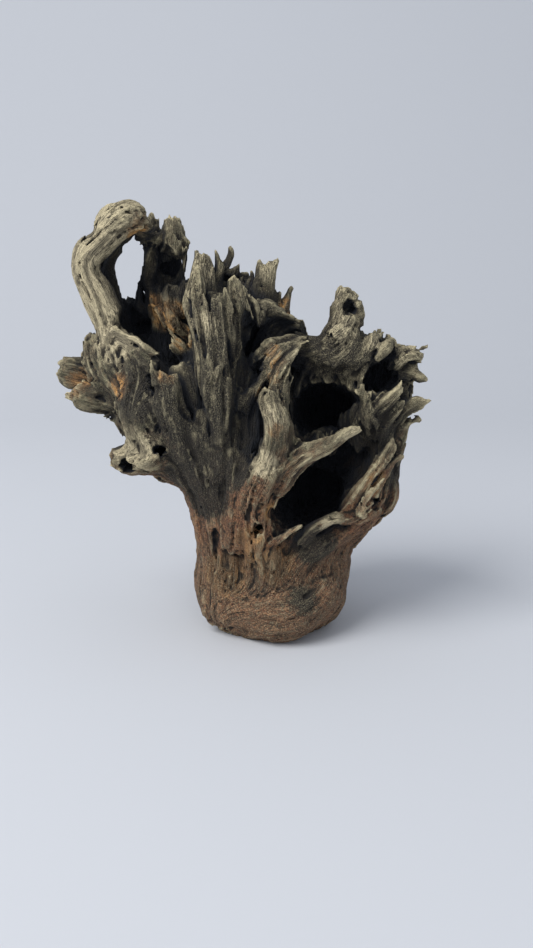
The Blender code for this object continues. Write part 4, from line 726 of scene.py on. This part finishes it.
def random_lattice(seed):
    """Smooth noise with a deviation of about one, always the same for a seed."""
    values = np.random.default_rng(seed).standard_normal((LATTICE_POINTS,) * 3 + (1,))
    return Lattice(LATTICE_GAIN * values.astype(np.float32), wrap=True)


def grain_lattice(wood):
    """The direction of the grain and how rough it is, on a coarse grid."""
    axes = grid_axes(FLOW_STEP)
    place = np.meshgrid(*axes, indexing="ij")
    total = np.zeros(place[0].shape + (4,), np.float32)
    total[..., 2:] = 1e-4
    weights = np.full(place[0].shape, 1e-4, np.float32)
    for carve, points, _, _, rough in wood.strokes:
        if carve:
            continue
        path = smooth_path(points, 3)
        nearest = np.full(place[0].shape, np.inf, np.float32)
        direction = np.zeros(place[0].shape + (3,), np.float32)
        for start, end in zip(path[:-1], path[1:]):
            distance = nearest_piece(place, start, end)
            closer = distance < nearest
            nearest[closer] = distance[closer]
            direction[closer] = (end[:3] - start[:3]) / np.linalg.norm(end[:3] - start[:3])
        weight = np.exp(-np.clip(nearest, *FLOW_RANGE) / np.float32(FLOW_REACH))
        total[..., :3] += weight[..., None] * direction
        total[..., 3] += weight * np.float32(rough)
        weights += weight
    total[..., :3] /= np.linalg.norm(total[..., :3], axis=-1, keepdims=True) + 1e-9
    total[..., 3] /= weights
    return Lattice(total, origin=LOW_CORNER)


def streaks(place, grain, noise, width, length):
    """Noise drawn out along the grain, with a deviation of about one."""
    steps = round(length / width)
    total = noise.read(place, width)[:, 0]
    power = 1.0
    for way in (1, -1):
        at = place
        for k in range(1, steps + 1):
            at = at + grain.read(at, FLOW_STEP)[:, :3] * np.float32(way * width)
            weight = 0.5 + 0.5 * math.cos(math.pi * k / (steps + 1))
            total = total + noise.read(at, width)[:, 0] * np.float32(weight)
            power += weight * weight
    return total / np.float32(math.sqrt(power))


def relief(place, ends, grain, noises):
    """Height of the grain at every place, in millimetres; ends is 1 where the skin lies across the grain."""
    flute_noise, rib_noise, crack_noise, lump_noise = noises
    height = LUMP_HEIGHT * lump_noise.read(place, LUMP_SIZE)[:, 0]
    height += KNOB_HEIGHT * crack_noise.read(place, KNOB_SIZE)[:, 0]
    flutes = streaks(place, grain, flute_noise, FLUTE_WIDTH, FLUTE_LENGTH)
    height += FLUTE_HEIGHT * (CREST - np.minimum(np.abs(flutes), CREST_SPREAD))
    ribs = streaks(place, grain, rib_noise, RIB_WIDTH, RIB_LENGTH)
    height += RIB_HEIGHT * (CREST - np.minimum(np.abs(ribs), CREST_SPREAD))
    height += SPLINTER_HEIGHT * ends ** 2 * np.clip(ribs + 0.5 * flutes, -1.6, 1.6)
    cracks = streaks(place, grain, crack_noise, CRACK_WIDTH, CRACK_LENGTH)
    height -= CRACK_DEPTH * np.clip((-cracks - CRACK_START) / CRACK_RAMP, 0, 1)
    return height * grain.read(place, FLOW_STEP)[:, 3]


def across_grain(field, near, place, grain):
    """1 at the broken ends, where the skin faces along the grain, and 0 along the limbs."""
    slope = np.stack([side[near] for side in np.gradient(field)], axis=1)
    slope /= np.linalg.norm(slope, axis=1, keepdims=True) + 1e-9
    return np.abs((slope * grain.read(place, FLOW_STEP)[:, :3]).sum(axis=1))


def fine_relief(place, grain, noises):
    """Height of the fibres, splits and rot at every place, in millimetres."""
    fibre_noise, split_noise, rot_noise, _ = noises
    fibres = streaks(place, grain, fibre_noise, FIBRE_WIDTH, FIBRE_LENGTH)
    height = FIBRE_DEPTH * np.clip(fibres, *FIBRE_RANGE)
    splits = streaks(place, grain, split_noise, SPLIT_WIDTH, SPLIT_LENGTH)
    height -= SPLIT_DEPTH * np.clip((-splits - SPLIT_START) / SPLIT_RAMP, 0, 1)
    rot = np.clip(rot_noise.read(place, ROT_SIZE)[:, 0] - ROT_START, 0, ROT_MOST)
    height -= ROT_DEPTH * rot * np.clip((ROT_TOP - place[:, 2]) / ROT_FADE, 0, 1)
    return height * grain.read(place, FLOW_STEP)[:, 3]


def in_threads(work, count):
    """Run work(start, stop) over chunks of count places and join the results."""
    with ThreadPoolExecutor(THREADS) as pool:
        parts = list(pool.map(lambda start: work(start, min(start + CHUNK, count)), range(0, count, CHUNK)))
    return np.concatenate(parts)


def broad_heights(wood, grain, noises):
    """The height of the broad grain, sampled as coarsely as in the solid."""
    axes = grid_axes(COARSE_STEP)
    field = smooth_field(wood, axes)
    near = np.nonzero(np.abs(field) < RELIEF_BAND)
    place = np.stack([axes[i][near[i]] for i in range(3)], axis=1)
    ends = across_grain(field, near, place, grain)
    heights = in_threads(lambda a, b: relief(place[a:b], ends[a:b], grain, noises), len(place))
    field[:] = 0
    field[near] = heights
    return Lattice(field[..., None], origin=LOW_CORNER)


def fine_field(wood, axes):
    """The smooth field at the fine step, worked out in slabs side by side."""
    slabs = np.array_split(axes[0], 4 * THREADS)
    with ThreadPoolExecutor(THREADS) as pool:
        parts = list(pool.map(lambda slab: smooth_field(wood, [slab, axes[1], axes[2]]), slabs))
    return np.concatenate(parts)


def add_all_grain(field, wood, axes, grain):
    """Raise and sink the fine field by the broad grain and, close to the skin, by the fine grain."""
    broad_noises = [random_lattice(seed) for seed in BROAD_SEEDS]
    fine_noises = [random_lattice(seed) for seed in FINE_SEEDS]
    broad = broad_heights(wood, grain, broad_noises)
    near = np.nonzero(np.abs(field) < RELIEF_BAND)
    distance = field[near]
    place = np.stack([axes[i][near[i]] for i in range(3)], axis=1)
    ends = across_grain(field, near, place, grain)

    def heights(start, stop):
        here = place[start:stop]
        height = broad.read(here, COARSE_STEP)[:, 0]
        close = np.abs(distance[start:stop] - height) < SKIN_BAND
        height[close] = relief(here[close], ends[start:stop][close], grain, broad_noises)
        height[close] += fine_relief(here[close], grain, fine_noises)
        return height

    fade = np.clip((RELIEF_BAND - np.abs(distance)) / RELIEF_FADE, 0, 1)
    field[near] -= in_threads(heights, len(place)) * fade


def bore_worm_holes(field, axes):
    """Sink small round holes at random places of the skin."""
    rng = np.random.default_rng(WORM_SEED)
    skin = np.argwhere(np.abs(field[2:-2, 2:-2, 2:-2]) < 0.4) + 2
    for i, j, k in skin[rng.integers(0, len(skin), WORM_HOLES)]:
        inward = -np.array([field[i + 1, j, k] - field[i - 1, j, k], field[i, j + 1, k] - field[i, j - 1, k],
                            field[i, j, k + 1] - field[i, j, k - 1]])
        inward /= np.linalg.norm(inward) + 1e-9
        mouth = np.array([axes[0][i], axes[1][j], axes[2][k]]) - inward
        bottom = mouth + inward * WORM_DEPTH
        radius = rng.uniform(*WORM_RADIUS)
        low, high = np.minimum(mouth, bottom) - WORM_MARGIN, np.maximum(mouth, bottom) + WORM_MARGIN
        box = tuple(slice(*np.searchsorted(axes[n], (low[n], high[n]))) for n in range(3))
        around = np.meshgrid(*[axes[n][box[n]] for n in range(3)], indexing="ij")
        hole = nearest_piece(around, np.append(mouth, radius), np.append(bottom, WORM_TAPER * radius))
        field[box] = -melt(-field[box], hole, WORM_BLEND)


def skin_of(field, axes):
    """Points and four-sided faces of the wood's skin, faces pointing out."""
    grid = openvdb.FloatGrid(OUTSIDE)
    grid.copyFromArray(field)
    points, quads = grid.convertToQuads(0.0)
    points = points * (axes[0][1] - axes[0][0]) + np.array([a[0] for a in axes])
    return points, quads


def keep_largest_body(mesh):
    """Remove crumbs that the grain has cut off, and bubbles inside the wood."""
    shape = bmesh.new()
    shape.from_mesh(mesh)
    unseen = set(shape.verts)
    bodies = []
    while unseen:
        front = [unseen.pop()]
        body = set(front)
        while front:
            vert = front.pop()
            for edge in vert.link_edges:
                other = edge.other_vert(vert)
                if other in unseen:
                    unseen.discard(other)
                    body.add(other)
                    front.append(other)
        bodies.append(body)
    bodies.sort(key=len)
    crumbs = [vert for body in bodies[:-1] for vert in body]
    bmesh.ops.delete(shape, geom=crumbs, context="VERTS")
    shape.to_mesh(mesh)
    shape.free()


def simplified(piece):
    """The object's mesh with at most the allowed number of triangles."""
    faces = sum(len(face.vertices) - 2 for face in piece.data.polygons)
    reduce = piece.modifiers.new("Reduce", "DECIMATE")
    reduce.ratio = min(1.0, TRIANGLES / faces)
    reduce.use_collapse_triangulate = True
    evaluated = piece.evaluated_get(bpy.context.evaluated_depsgraph_get())
    mesh = bpy.data.meshes.new_from_object(evaluated)
    piece.modifiers.remove(reduce)
    return mesh


def sphere_directions(count):
    """Directions spread evenly over a sphere."""
    k = np.arange(count) + 0.5
    height = 1 - 2 * k / count
    turn = k * math.pi * (3 - math.sqrt(5))
    ring = np.sqrt(1 - height * height)
    return np.stack([ring * np.cos(turn), ring * np.sin(turn), height], axis=1).astype(np.float32)


def hiddenness(points, normals, wood_at):
    """How hidden each point is by wood around it: 0 in the open, 1 deep in a hollow."""
    open_sky = np.zeros(len(points), np.float32)
    total = np.zeros(len(points), np.float32)
    for direction in sphere_directions(SKY_DIRECTIONS):
        facing = normals @ direction
        clear = np.ones(len(points), np.float32)
        for reach in SKY_REACHES:
            distance = wood_at.read(points + direction * np.float32(reach) + normals, FINE_STEP)[:, 0]
            clear = np.minimum(clear, np.clip(0.5 + distance / (SKY_SOFTNESS * reach), 0, 1))
        weight = np.clip(facing, 0, 1)
        open_sky += clear * weight
        total += weight
    return 1 - open_sky / np.maximum(total, 1e-3)


def sharpness(points, normals, wood_at, reach):
    """How the skin bends near each point: above 0 on ridges and below 0 in grooves."""
    side = np.cross(normals, np.where(np.abs(normals[:, 2:]) < 0.8, [[0, 0, 1]], [[1, 0, 0]]))
    side /= np.linalg.norm(side, axis=1, keepdims=True)
    other = np.cross(normals, side)
    total = 0
    for direction in (side, -side, other, -other):
        total = total + wood_at.read((points + direction * reach).astype(np.float32), FINE_STEP)[:, 0]
    return total / (4 * reach)


def store(mesh, name, values, kind="FLOAT"):
    """Keep one value, or one vector, for each point of the mesh."""
    field = "value" if kind == "FLOAT" else "vector"
    mesh.attributes.new(name, kind, "POINT").data.foreach_set(field, np.ravel(values).astype(np.float32))


def stained(points, places):
    """1 in the middle of each soft round stain (x, y, z, radius), and 0 away from them."""
    share = np.zeros(len(points), np.float32)
    for x, y, z, radius in places:
        away = np.linalg.norm(points - np.array((x, y, z), np.float32), axis=1) / radius
        share = np.maximum(share, np.clip(STAIN_EDGE - away, 0, 1))
    return share


def measure_skin(mesh, field, grain):
    """Store what the material needs: how hidden, sharp, streaked and stained the skin is, and its grain."""
    count = len(mesh.vertices)
    points = np.zeros(count * 3, np.float32)
    mesh.vertices.foreach_get("co", points)
    points = points.reshape(-1, 3)
    normals = np.zeros(count * 3, np.float32)
    mesh.vertex_normals.foreach_get("vector", normals)
    normals = normals.reshape(-1, 3)
    wood_at = Lattice(field[..., None], origin=LOW_CORNER)
    noise = random_lattice(STREAK_SEED)

    def keep(name, measure, kind="FLOAT"):
        values = in_threads(lambda a, b: measure(points[a:b], normals[a:b]), count)
        store(mesh, name, values, kind)

    # how hidden the skin is; the material paints shade from it
    keep("hidden", lambda at, facing: hiddenness(at, facing, wood_at))
    keep("ridge", lambda at, facing: sharpness(at, facing, wood_at, EDGE_REACH))
    keep("broad_ridge", lambda at, facing: sharpness(at, facing, wood_at, BROAD_REACH))
    keep("streak", lambda at, _: streaks(at, grain, noise, STREAK_WIDTH, STREAK_LENGTH))
    keep("grain", lambda at, _: grain.read(at, FLOW_STEP)[:, :3], "FLOAT_VECTOR")
    # the dark stains are partly painted shade in recesses
    for name, places in (("dark", DARK_STAINS_AND_SHADE), ("pale", PALE_STAINS), ("rust", RUST_STAINS)):
        store(mesh, name, stained(points, places))


def fine_piece():
    """The driftwood's skin as one mesh object in millimetres, measured for the material."""
    wood = whole_piece()
    axes = grid_axes(FINE_STEP)
    grain = grain_lattice(wood)
    field = fine_field(wood, axes)
    add_all_grain(field, wood, axes, grain)
    bore_worm_holes(field, axes)
    field = np.maximum(field, -axes[2])    # cut flat at the floor
    points, quads = skin_of(field, axes)
    mesh = bpy.data.meshes.new("driftwood_skin")
    mesh.from_pydata(points.tolist(), [], quads.tolist())
    keep_largest_body(mesh)
    piece = bpy.data.objects.new("driftwood_skin", mesh)
    bpy.context.scene.collection.objects.link(piece)
    piece.data = simplified(piece)
    measure_skin(piece.data, field, grain)
    for vert in piece.data.vertices:
        if vert.co.z < FLAT_SNAP:
            vert.co.z = 0.0
    piece.data.shade_smooth()
    return piece


class Nodes:
    """Short ways to add and join the nodes of one material."""

    def __init__(self, material):
        material.use_nodes = True
        self.tree = material.node_tree
        self.shader = self.tree.nodes["Principled BSDF"]

    def node(self, kind, inputs=(), **settings):
        """A new node; inputs gives each socket, by name or number, a value or another node's socket."""
        node = self.tree.nodes.new(kind)
        for name, value in settings.items():
            setattr(node, name, value)
        for name, value in dict(inputs).items():
            self.give(node.inputs[name], value)
        return node

    def give(self, socket, value):
        if isinstance(value, bpy.types.NodeSocket):
            self.tree.links.new(value, socket)
        else:
            socket.default_value = value

    def value(self, name, part="Fac"):
        """A measure that the mesh stores."""
        return self.node("ShaderNodeAttribute", attribute_name=name).outputs[part]

    def math(self, operation, a, b=0.0, clamp=False):
        return self.node("ShaderNodeMath", {0: a, 1: b}, operation=operation, use_clamp=clamp).outputs[0]

    def add(self, a, b):
        return self.math("ADD", a, b)

    def times(self, a, b):
        return self.math("MULTIPLY", a, b)

    def less(self, a, b):
        return self.math("SUBTRACT", a, b)

    def between(self, value, low, high):
        """0 where value is low, 1 where it is high, and smooth between them."""
        node = self.node("ShaderNodeMapRange", {"Value": value, "From Min": low, "From Max": high},
                         interpolation_type="SMOOTHSTEP")
        return node.outputs[0]

    def at_least(self, least, share):
        """A share that runs from least to 1 in place of 0 to 1."""
        return self.add(least, self.times(share, 1 - least))

    def mix(self, share, a, b):
        """Colour a where share is 0 and colour b where it is 1."""
        node = self.node("ShaderNodeMix", data_type="RGBA")
        self.give(node.inputs[0], share)
        self.give(node.inputs[6], a)
        self.give(node.inputs[7], b)
        return node.outputs[2]

    def tint(self, colour, measure, tint, held=1.0):
        """Blend a tint's tone into the colour as the measure goes from the tint's low to its high."""
        low, high, share, tone = tint
        amount = self.times(self.between(measure, low, high), share)
        return self.mix(self.times(amount, held), colour, tone)

    def noise(self, scale, detail, place=None):
        """Cloudy noise around 0.5, with scale repeats in a metre."""
        inputs = {"Scale": scale, "Detail": detail, "Roughness": NOISE_ROUGHNESS}
        if place is not None:
            inputs["Vector"] = place
        return self.node("ShaderNodeTexNoise", inputs).outputs["Fac"]


def fibre_noise(nodes, width, length):
    """Noise drawn out along the grain: the mean of noises read at steps along it."""
    place = nodes.node("ShaderNodeTexCoord").outputs["Object"]
    along = nodes.value("grain", "Vector")
    total = None
    for step in np.linspace(-0.5, 0.5, FIBRE_READS):
        shift = nodes.node("ShaderNodeVectorMath", {0: along, 3: float(step * length)}, operation="SCALE")
        at = nodes.node("ShaderNodeVectorMath", {0: place, 1: shift.outputs[0]}, operation="ADD")
        read = nodes.noise(1 / width, FIBRE_DETAIL, at.outputs[0])
        total = read if total is None else nodes.add(total, read)
    return nodes.times(total, 1 / FIBRE_READS)


def wood_colour(nodes, fibres, threads):
    """Grey-green above, red-brown at the foot, stained by place (the dark stains partly painted shade) and
    streaked along the grain.
    """
    place = nodes.node("ShaderNodeTexCoord").outputs["Object"]
    side, _, height = nodes.node("ShaderNodeSeparateXYZ", {0: place}).outputs
    patches = nodes.noise(*PATCHES)
    blotches = nodes.noise(*BLOTCHES)
    specks = nodes.noise(*SPECKS)
    level = nodes.add(height, nodes.times(nodes.less(patches, 0.5), LEVEL_WANDER))
    grey = nodes.tint(GREY_WOOD, patches, GREEN_PATCHES)
    grey = nodes.tint(grey, blotches, TAN_BLOTCHES)
    brown = nodes.tint(BROWN_WOOD, blotches, RUST_BLOTCHES)
    brown = nodes.tint(brown, nodes.noise(*MOTTLES), DARK_MOTTLES)
    pits = nodes.noise(*PITS)
    brown = nodes.tint(brown, pits, DARK_PITS)
    brown = nodes.tint(brown, pits, PALE_FLECKS)
    colour = nodes.mix(nodes.between(level, *BROWN_TO_GREY), brown, grey)
    broken = nodes.times(nodes.less(blotches, 0.5), STAIN_BREAK)
    # the dark stains are partly painted shade in recesses
    for name, tint in (("dark", DARK_STAIN_AND_SHADE), ("pale", PALE_STAIN), ("rust", RUST_STAIN)):
        colour = nodes.tint(colour, nodes.add(nodes.value(name), broken), tint)
    smooth_foot = nodes.at_least(FOOT_STREAKS, nodes.between(level, *BROWN_TO_GREY))
    crown_or_foot = nodes.add(nodes.between(height, *CROWN_ABOVE), nodes.between(height, *FOOT_BELOW))
    rough = nodes.at_least(WORN_SHARE, nodes.times(crown_or_foot, nodes.between(side, *WORN_SIDE)))
    shown = nodes.times(smooth_foot, rough)
    colour = nodes.tint(colour, fibres, DARK_FIBRES, shown)
    colour = nodes.tint(colour, fibres, PALE_FIBRES, shown)
    streaky = nodes.between(nodes.add(patches, nodes.times(level, STREAKY_WITH_HEIGHT)), *STREAKY)
    colour = nodes.tint(colour, nodes.value("streak"), DARK_STREAKS, nodes.at_least(STREAKS_KEPT, streaky))
    colour = nodes.tint(colour, nodes.value("streak"), PALE_STREAKS, streaky)
    bare = nodes.between(nodes.value("rust"), *ORANGE_PLACES)
    colour = nodes.tint(colour, nodes.value("streak"), ORANGE_STREAKS, nodes.times(bare, streaky))
    colour = nodes.tint(colour, threads, DARK_THREADS, shown)
    colour = nodes.tint(colour, specks, PALE_CHIPS, rough)
    return nodes.tint(colour, specks, DARK_SPECKS, rough)


def worn_and_shaded(nodes, colour):
    """Pale on worn sharp edges, with painted shade dark in the grooves and black in the hollows."""
    dark = nodes.value("dark")
    worn = nodes.at_least(WEAR_LEAST, nodes.between(nodes.noise(*WEAR), *WEAR_RANGE))
    worn = nodes.times(worn, nodes.less(1.0, nodes.times(dark, DARK_KEPT)))
    ridge = nodes.times(nodes.between(nodes.value("ridge"), *SHARP_EDGE), SHARP_SHARE)
    broad = nodes.times(nodes.between(nodes.value("broad_ridge"), *BROAD_EDGE), BROAD_SHARE)
    colour = nodes.mix(nodes.times(nodes.math("ADD", ridge, broad, clamp=True), worn), colour, PALE_WOOD)
    # painted shade in the grooves
    colour = nodes.tint(colour, nodes.value("ridge"), PAINTED_GROOVE_SHADE)
    shade_share = nodes.less(1.0, nodes.between(nodes.value("rust"), *RUST_WITHOUT_SHADE))
    # painted shade: darker where the skin is partly hidden and near black deep in hollows, except inside rust
    # stains
    colour = nodes.tint(colour, nodes.value("hidden"), SHADED, shade_share)
    return nodes.tint(colour, nodes.value("hidden"), PAINTED_HOLLOW_SHADE, shade_share)


def dress(piece):
    """One material for the whole piece, rough all over, with fibres and threads in low relief."""
    material = bpy.data.materials.new("weathered_driftwood")
    nodes = Nodes(material)
    fibres = fibre_noise(nodes, FIBRE_SHADE_WIDTH, FIBRE_SHADE_LENGTH)
    threads = fibre_noise(nodes, THREAD_WIDTH, THREAD_LENGTH)
    colour = worn_and_shaded(nodes, wood_colour(nodes, fibres, threads))
    nodes.give(nodes.shader.inputs["Base Color"], colour)
    nodes.shader.inputs["Roughness"].default_value = WOOD_ROUGHNESS
    coarse = nodes.node("ShaderNodeBump", {"Height": fibres, "Strength": 1.0, "Distance": FIBRE_BUMP})
    fine = nodes.node("ShaderNodeBump", {"Height": threads, "Strength": 1.0, "Distance": THREAD_BUMP,
                                         "Normal": coarse.outputs[0]})
    nodes.give(nodes.shader.inputs["Normal"], fine.outputs[0])
    piece.data.materials.clear()
    piece.data.materials.append(material)


def add_floor():
    """A pale floor that curves up behind the piece."""
    bend = [(BEND_START + BEND_RADIUS * math.sin(a), BEND_RADIUS * (1 - math.cos(a)))
            for a in np.linspace(0, math.pi / 2, BEND_ROWS)]
    profile = [(FLOOR_FRONT, 0.0)] + bend + [(BEND_START + BEND_RADIUS, FLOOR_TOP)]
    points = [(x, y, z) for y, z in profile for x in (-FLOOR_HALF_WIDTH, FLOOR_HALF_WIDTH)]
    faces = [(i, i + 1, i + 3, i + 2) for i in range(0, len(points) - 2, 2)]
    mesh = bpy.data.meshes.new("floor")
    mesh.from_pydata(points, [], faces)
    mesh.shade_smooth()
    floor = bpy.data.objects.new("floor", mesh)
    bpy.context.scene.collection.objects.link(floor)
    material = bpy.data.materials.new("floor")
    nodes = Nodes(material)
    nodes.shader.inputs["Base Color"].default_value = FLOOR_COLOUR
    nodes.shader.inputs["Roughness"].default_value = FLOOR_ROUGHNESS
    mesh.materials.append(material)
    return floor


def add_lights():
    """Soft daylight all round and one large soft lamp from the upper left."""
    world = bpy.data.worlds.new("studio")
    bpy.context.scene.world = world
    world.use_nodes = True
    world.node_tree.nodes["Background"].inputs[0].default_value = SKY_COLOUR
    world.node_tree.nodes["Background"].inputs[1].default_value = SKY_STRENGTH
    light = bpy.data.lights.new("window", "AREA")
    light.energy = LAMP_POWER
    light.size = LAMP_SIZE
    lamp = bpy.data.objects.new("window", light)
    bpy.context.scene.collection.objects.link(lamp)
    lamp.location = LAMP_PLACE
    lamp.rotation_mode = "QUATERNION"
    lamp.rotation_quaternion = (Vector(LAMP_AIM) - lamp.location).to_track_quat("-Z", "Y")
    bpy.context.scene.view_settings.view_transform = "Standard"


def add_camera():
    """A camera at the piece's front, a little above it."""
    data = bpy.data.cameras.new("camera")
    data.sensor_width = SENSOR_WIDTH
    data.lens = CAMERA_LENS
    data.clip_start = CAMERA_NEAR
    camera = bpy.data.objects.new("camera", data)
    camera.location = CAMERA_PLACE
    camera.rotation_euler = (math.radians(90 - CAMERA_DOWN), 0, 0)
    bpy.context.scene.collection.objects.link(camera)
    bpy.context.scene.camera = camera


def fit_to_solid(piece):
    """Bring the skin from its millimetres to metres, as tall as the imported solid."""
    low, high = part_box("driftwood")
    drawn = max(vert.co.z for vert in piece.data.vertices)
    piece.data.transform(Matrix.Scale((high[2] - low[2]) / drawn, 4))
    piece.data.update()


def build_scene():
    """The dressed driftwood on its floor, lit and seen from the front."""
    piece = fine_piece()
    fit_to_solid(piece)
    dress(piece)
    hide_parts("driftwood")
    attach(piece, "root")
    add_floor()
    add_lights()
    add_camera()


build_scene()
